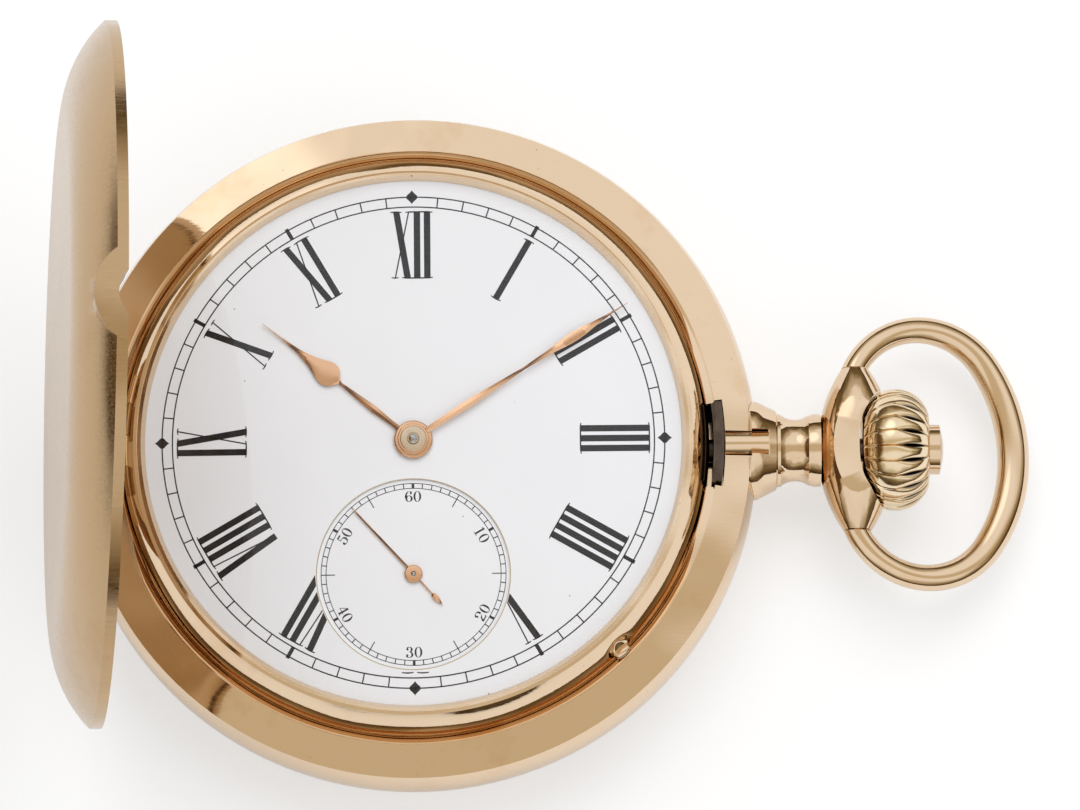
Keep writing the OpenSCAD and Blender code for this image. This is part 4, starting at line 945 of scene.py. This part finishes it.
@dataclass
class Hands:
    """The hands: thin blades filed to a ridge, turned bosses and the ends of the two arbors."""

    hour_at: float = -51.5
    minute_at: float = 57.1
    seconds_at: float = -42.5
    hub: Pair = SECONDS_AXIS

    def blade(self, shape: Shape, at: float, knots: list[Pair], low: float, top: float,
              centre: Pair = (0.0, 0.0)) -> None:
        """Add a blade: upright edges and a roof that rises to a ridge along its middle.

        The half width runs straight from knot to knot and is then averaged over near stations.

        Args:
            shape: The shape to add to.
            at: Direction in degrees clockwise from twelve.
            knots: Distance from the axis and half width there.
            low: Underside.
            top: Height of the ridge.
            centre: Where the axis stands.
        """
        table = np.array(knots)
        y = np.linspace(table[0, 0], table[-1, 0], 161)
        half = np.convolve(np.pad(np.interp(y, *table.T), 2, mode="edge"),
                           np.array([1, 2, 3, 2, 1]) / 9, "valid")
        turn = math.radians(at)
        across = np.array([math.cos(turn), -math.sin(turn), 0.0])
        up = np.array([math.sin(turn), math.cos(turn), 0.0])
        side = np.array([-1.0, -1.0, 0.0, 1.0, 1.0])
        edge = low + 0.4 * (top - low)
        rows = (y[:, None, None] * up + (half[:, None] * side)[..., None] * across
                + np.array([*centre, 0.0]))
        rows[..., 2] = np.array([low, edge, top, edge, low])
        shape.grid(rows, closed=True)

    def boss(self, outer: float, inner: float, low: float, top: float,
             round_off: float) -> np.ndarray:
        """Give the profile of a flat ring with a rounded outer edge, as radius and height."""
        a = np.linspace(0.0, math.pi / 2, 7)
        arc = np.stack([outer - round_off * (1 - np.cos(a)), top - round_off * (1 - np.sin(a))],
                       axis=-1)
        return np.concatenate([[[outer, low]], arc, [[inner, top], [inner, low]]])

    def pivot(self, r: float, low: float, top: float) -> np.ndarray:
        """Give the profile of an arbor's end, a short pin with a low dome."""
        a = np.linspace(0.0, math.pi / 2, 8)
        arc = np.stack([r * np.cos(a), top - 0.5 * r * (1 - np.sin(a))], axis=-1)
        return np.concatenate([[[0.0, low], [r, low]], arc])

    def build(self) -> None:
        """Build the three hands and the arbor ends."""
        low, top = heights("hour_hand")
        hour = Shape()
        self.blade(hour, self.hour_at, [
            (1.35, 0.2), (2.2, 0.19), (3.9, 0.28), (7.25, 0.1), (7.45, 0.3), (7.7, 0.66),
            (8.0, 0.9), (8.5, 0.98), (8.9, 0.88), (9.3, 0.7), (10.1, 0.42), (11.3, 0.17),
            (12.8, 0.08), (14.9, 0.02)], low, top)
        hour.turned(self.boss(1.5, 0.72, low, top + 0.04, 0.14))
        hour.piece("pear_hour_hand", Finish.HANDS, "hour_hand", stands_for=("hour_hand",))

        low, top = heights("minute_hand")
        minute = Shape()
        self.blade(minute, self.minute_at, [
            (0.95, 0.22), (5.2, 0.31), (10.2, 0.1), (12.7, 0.21), (14.0, 0.35), (14.9, 0.39),
            (15.7, 0.34), (16.6, 0.22), (17.8, 0.1), (19.8, 0.03)], low, top)
        minute.turned(self.boss(1.22, 0.98, low, top + 0.02, 0.08))
        minute.piece("long_minute_hand", Finish.HANDS, "minute_hand", stands_for=("minute_hand",))
        boss = Shape().turned(self.boss(1.03, 0.5, low, top + 0.06, 0.1))
        boss.piece("minute_boss", Finish.PALE, "minute_hand")
        tip = heights("centre_wheel")[1]
        cap = Shape().turned(self.pivot(0.43, top - 0.1, tip + 0.08), ring=False)
        cap.piece("centre_pivot_end", Finish.STEEL, "centre_wheel")

        low, top = heights("seconds_hand")
        seconds = Shape()
        for knots in ([(0.6, 0.1), (6.5, 0.07), (6.95, 0.02)], [(-2.5, 0.05), (-0.6, 0.07)],
                      [(-3.3, 0.02), (-2.65, 0.21), (-2.3, 0.2), (-2.1, 0.05)]):
            self.blade(seconds, self.seconds_at, knots, low, top, self.hub)
        seconds.turned(self.boss(0.7, 0.2, low, top + 0.03, 0.1), self.hub)
        seconds.piece("slim_seconds_hand", Finish.HANDS, "seconds_hand",
                      stands_for=("seconds_hand",))
        cap = Shape().turned(self.pivot(0.19, low, top + 0.08), self.hub, ring=False)
        cap.piece("seconds_pivot_end", Finish.STEEL, "seconds_hand")


# Solids that stay -----------------------------------------


@dataclass
class Solids:
    """The solids that keep their shape and get a finish and smooth shading."""

    finishes: dict[str, Finish]
    split: float = 32.0

    def dress(self) -> None:
        """Give each solid its material, and shade its curved faces smooth."""
        for name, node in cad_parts.items():
            finish, mesh = self.finishes[name], node.data
            mesh.materials.clear()
            mesh.materials.append(finish.material())
            mesh.polygons.foreach_set("material_index", [0] * len(mesh.polygons))
            mesh.polygons.foreach_set("use_smooth", [True] * len(mesh.polygons))
            weld = node.modifiers.new("weld", "WELD")
            weld.merge_threshold = 1e-6
            edges = node.modifiers.new("edges", "EDGE_SPLIT")
            edges.split_angle = math.radians(self.split)
            LOG.info("%s in %s", name, finish.value.name)


def finish_of_each() -> dict[str, Finish]:
    """Return the finish of every solid, by its name."""
    groups = {
        Finish.CASE: "case_middle back_cover bezel pendant bow_yoke bow crown crown_button "
                     "push_rod",
        Finish.LID: "front_lid",
        Finish.INNER: "cuvette front_hinge_pin back_hinge_pin bow_screw_upper bow_screw_lower",
        Finish.HANDS: "hour_hand minute_hand seconds_hand",
        Finish.DARK_STEEL: "lock_spring lift_spring winding_stem",
        Finish.STEEL: "winding_pinion cannon_pinion barrel_arbor ratchet_wheel "
                      "crown_wheel click escape_wheel pallet_fork mainspring",
        Finish.BLUED: "lock_spring_screw lift_spring_screw crown_wheel_screw hairspring "
                      "bridge_screws case_screws",
        Finish.GILT: "main_plate barrel_bridge train_bridge balance_cock pallet_bridge",
        Finish.BRASS: "hour_wheel minute_wheel barrel centre_wheel third_wheel fourth_wheel "
                      "balance_wheel",
        Finish.ENAMEL: "dial seconds_dial",
        Finish.CRYSTAL: "crystal",
        Finish.RUBY: "jewels",
    }
    return {name: finish for finish, names in groups.items() for name in names.split()}


# Studio ---------------------------------------------------


@dataclass
class Studio:
    """Pale table, soft light and the camera. Places and sizes are in millimetres."""

    camera_at: Triple = (11.78, -106.1, 492.2)
    camera_turn: Triple = (0.2225, 0.00541, -0.00571)
    lens: float = 212.5
    key: tuple[Triple, float, float] = ((60.0, 420.0, 800.0), 760.0, 4.4)
    fill: tuple[Triple, float, float] = ((500.0, -300.0, 700.0), 700.0, 1.2)
    table_half: float = 4000.0
    table_down: float = 0.05
    glow: float = 1.06
    glow_share: float = 0.5
    glow_share_in_gold: float = 0.45
    window: Triple = (-0.37, 0.5, 0.78)
    window_bright: float = 1.5

    def camera(self) -> None:
        """Set up the camera nearly above the dial, a little towards six o'clock."""
        data = bpy.data.cameras.new("camera")
        data.lens, data.sensor_width = self.lens, 36.0
        data.clip_start, data.clip_end = 0.01, 20.0
        made = stand("camera", data)
        made.location = np.array(self.camera_at) * MM
        made.rotation_euler = self.camera_turn
        bpy.context.scene.camera = made

    def lamp(self, name: str, at: Triple, size: float, watts: float) -> None:
        """Add a square soft lamp that faces the watch.

        Args:
            name: Its name.
            at: Its place.
            size: Its side.
            watts: Its power.
        """
        data = bpy.data.lights.new(name, "AREA")
        data.shape, data.size, data.energy = "SQUARE", size * MM, watts
        made = stand(name, data)
        made.location = np.array(at) * MM
        aim = -np.array(at) / np.linalg.norm(at)
        made.rotation_euler = (math.acos(-aim[2]), 0.0, math.atan2(aim[1], aim[0]) - math.pi / 2)
        made.visible_camera = made.visible_glossy = False

    def table(self) -> None:
        """Add the table: white to the camera and to reflections, with the watch's soft shadow."""
        mesh = bpy.data.meshes.new("table")
        half, z = self.table_half * MM, -self.table_down * MM
        mesh.from_pydata([(-half, -half, z), (half, -half, z), (half, half, z), (-half, half, z)],
                         [], [(0, 1, 2, 3)])
        made = stand("table", mesh)
        material, tree, surface = start("white_table")
        ray = place(tree, "LightPath").outputs
        clear = reckon(tree, "MAXIMUM", ray["Is Camera Ray"], ray["Is Transmission Ray"])
        gold = reckon(tree, "MULTIPLY", ray["Is Glossy Ray"], self.glow_share_in_gold)
        share = reckon(tree, "MULTIPLY", reckon(tree, "MAXIMUM", clear, gold), self.glow_share)
        matt = place(tree, "BsdfDiffuse", Color=tint("FFFFFF"))
        glow = place(tree, "Emission", Color=tint("FFFFFF"), Strength=self.glow)
        mixed = place(tree, "MixShader", {0: share, 1: matt, 2: glow})
        tree.links.new(mixed.outputs[0], surface)
        mesh.materials.append(material)

    def room(self, tree: Tree) -> Node:
        """Paint what polished things see.

        The room is white overhead and warm and dim near the horizon. Over twelve o'clock and over
        six hangs a wide soft box, with a dimmer gap between them.

        Args:
            tree: The world's node tree.

        Returns:
            The world's mirror background.
        """
        way = place(tree, "TexCoord").outputs["Generated"]
        axes = place(tree, "SeparateXYZ", {0: way}).outputs
        stir = reckon(tree, "MULTIPLY_ADD", noise(tree, way, 2.6, 2.0), 0.4, axes["Z"])
        walls = place(tree, "ValToRGB", {0: reckon(tree, "SUBTRACT", stir, 0.2)})
        ramp = walls.color_ramp
        ramp.interpolation = "EASE"
        for at, shade in ((0.0, "463826"), (0.2, "746242"), (0.45, "C8BEA9"), (0.62, "FAF9F6")):
            stop = ramp.elements.new(at)
            stop.color = tint(shade)
        ramp.elements.remove(ramp.elements[0])
        ramp.elements[-1].color = tint("FFFFFF")
        north = spread(tree, axes["Y"], 0.03, 0.25, interpolation_type="SMOOTHSTEP")
        south = spread(tree, axes["Y"], -0.2, -0.36, to_high=0.9, interpolation_type="SMOOTHSTEP")
        panel = blend(tree, reckon(tree, "MAXIMUM", north, south), "D6CAB2", "FFFFFF")
        both = place(tree, "Mix", {0: 1.0, 6: walls, 7: panel}, data_type="RGBA",
                     blend_type="MULTIPLY")
        toward = place(tree, "VectorMath", {0: way, 1: self.window}, operation="DOT_PRODUCT")
        window = spread(tree, toward.outputs["Value"], 0.94, 0.98, 1.0, self.window_bright)
        return place(tree, "Background", {0: both.outputs[2], 1: window})

    def air(self) -> None:
        """Set the world: white to the camera, grey to matt things, a room to polished ones."""
        world = bpy.data.worlds.new("studio")
        bpy.context.scene.world = world
        world.use_nodes = True
        tree = world.node_tree
        tree.nodes.clear()
        ray = place(tree, "LightPath").outputs
        soft = place(tree, "Background", Color=tint("FFFFFF"), Strength=0.5)
        white = place(tree, "Background", Color=tint("FFFFFF"), Strength=1.0)
        shiny = place(tree, "MixShader", {0: ray["Is Glossy Ray"], 1: soft, 2: self.room(tree)})
        mixed = place(tree, "MixShader", {0: ray["Is Camera Ray"], 1: shiny, 2: white})
        place(tree, "OutputWorld", {"Surface": mixed})

    def build(self) -> None:
        """Set up the whole studio."""
        self.camera()
        self.table()
        self.air()
        self.lamp("key", *self.key)
        self.lamp("fill", *self.fill)
        bpy.context.scene.view_settings.view_transform = "Standard"


def main() -> None:
    """Build every part of the picture."""
    logging.basicConfig(level=logging.INFO, format="%(name)s: %(message)s")
    Studio().build()
    Solids(finish_of_each()).dress()
    DialPrint(top=heights("dial")[1], sunk=heights("seconds_dial")[1]).build()
    Bezel().build()
    Crown().build()
    Bow().build()
    Hands().build()


if __name__ == "__main__":
    main()
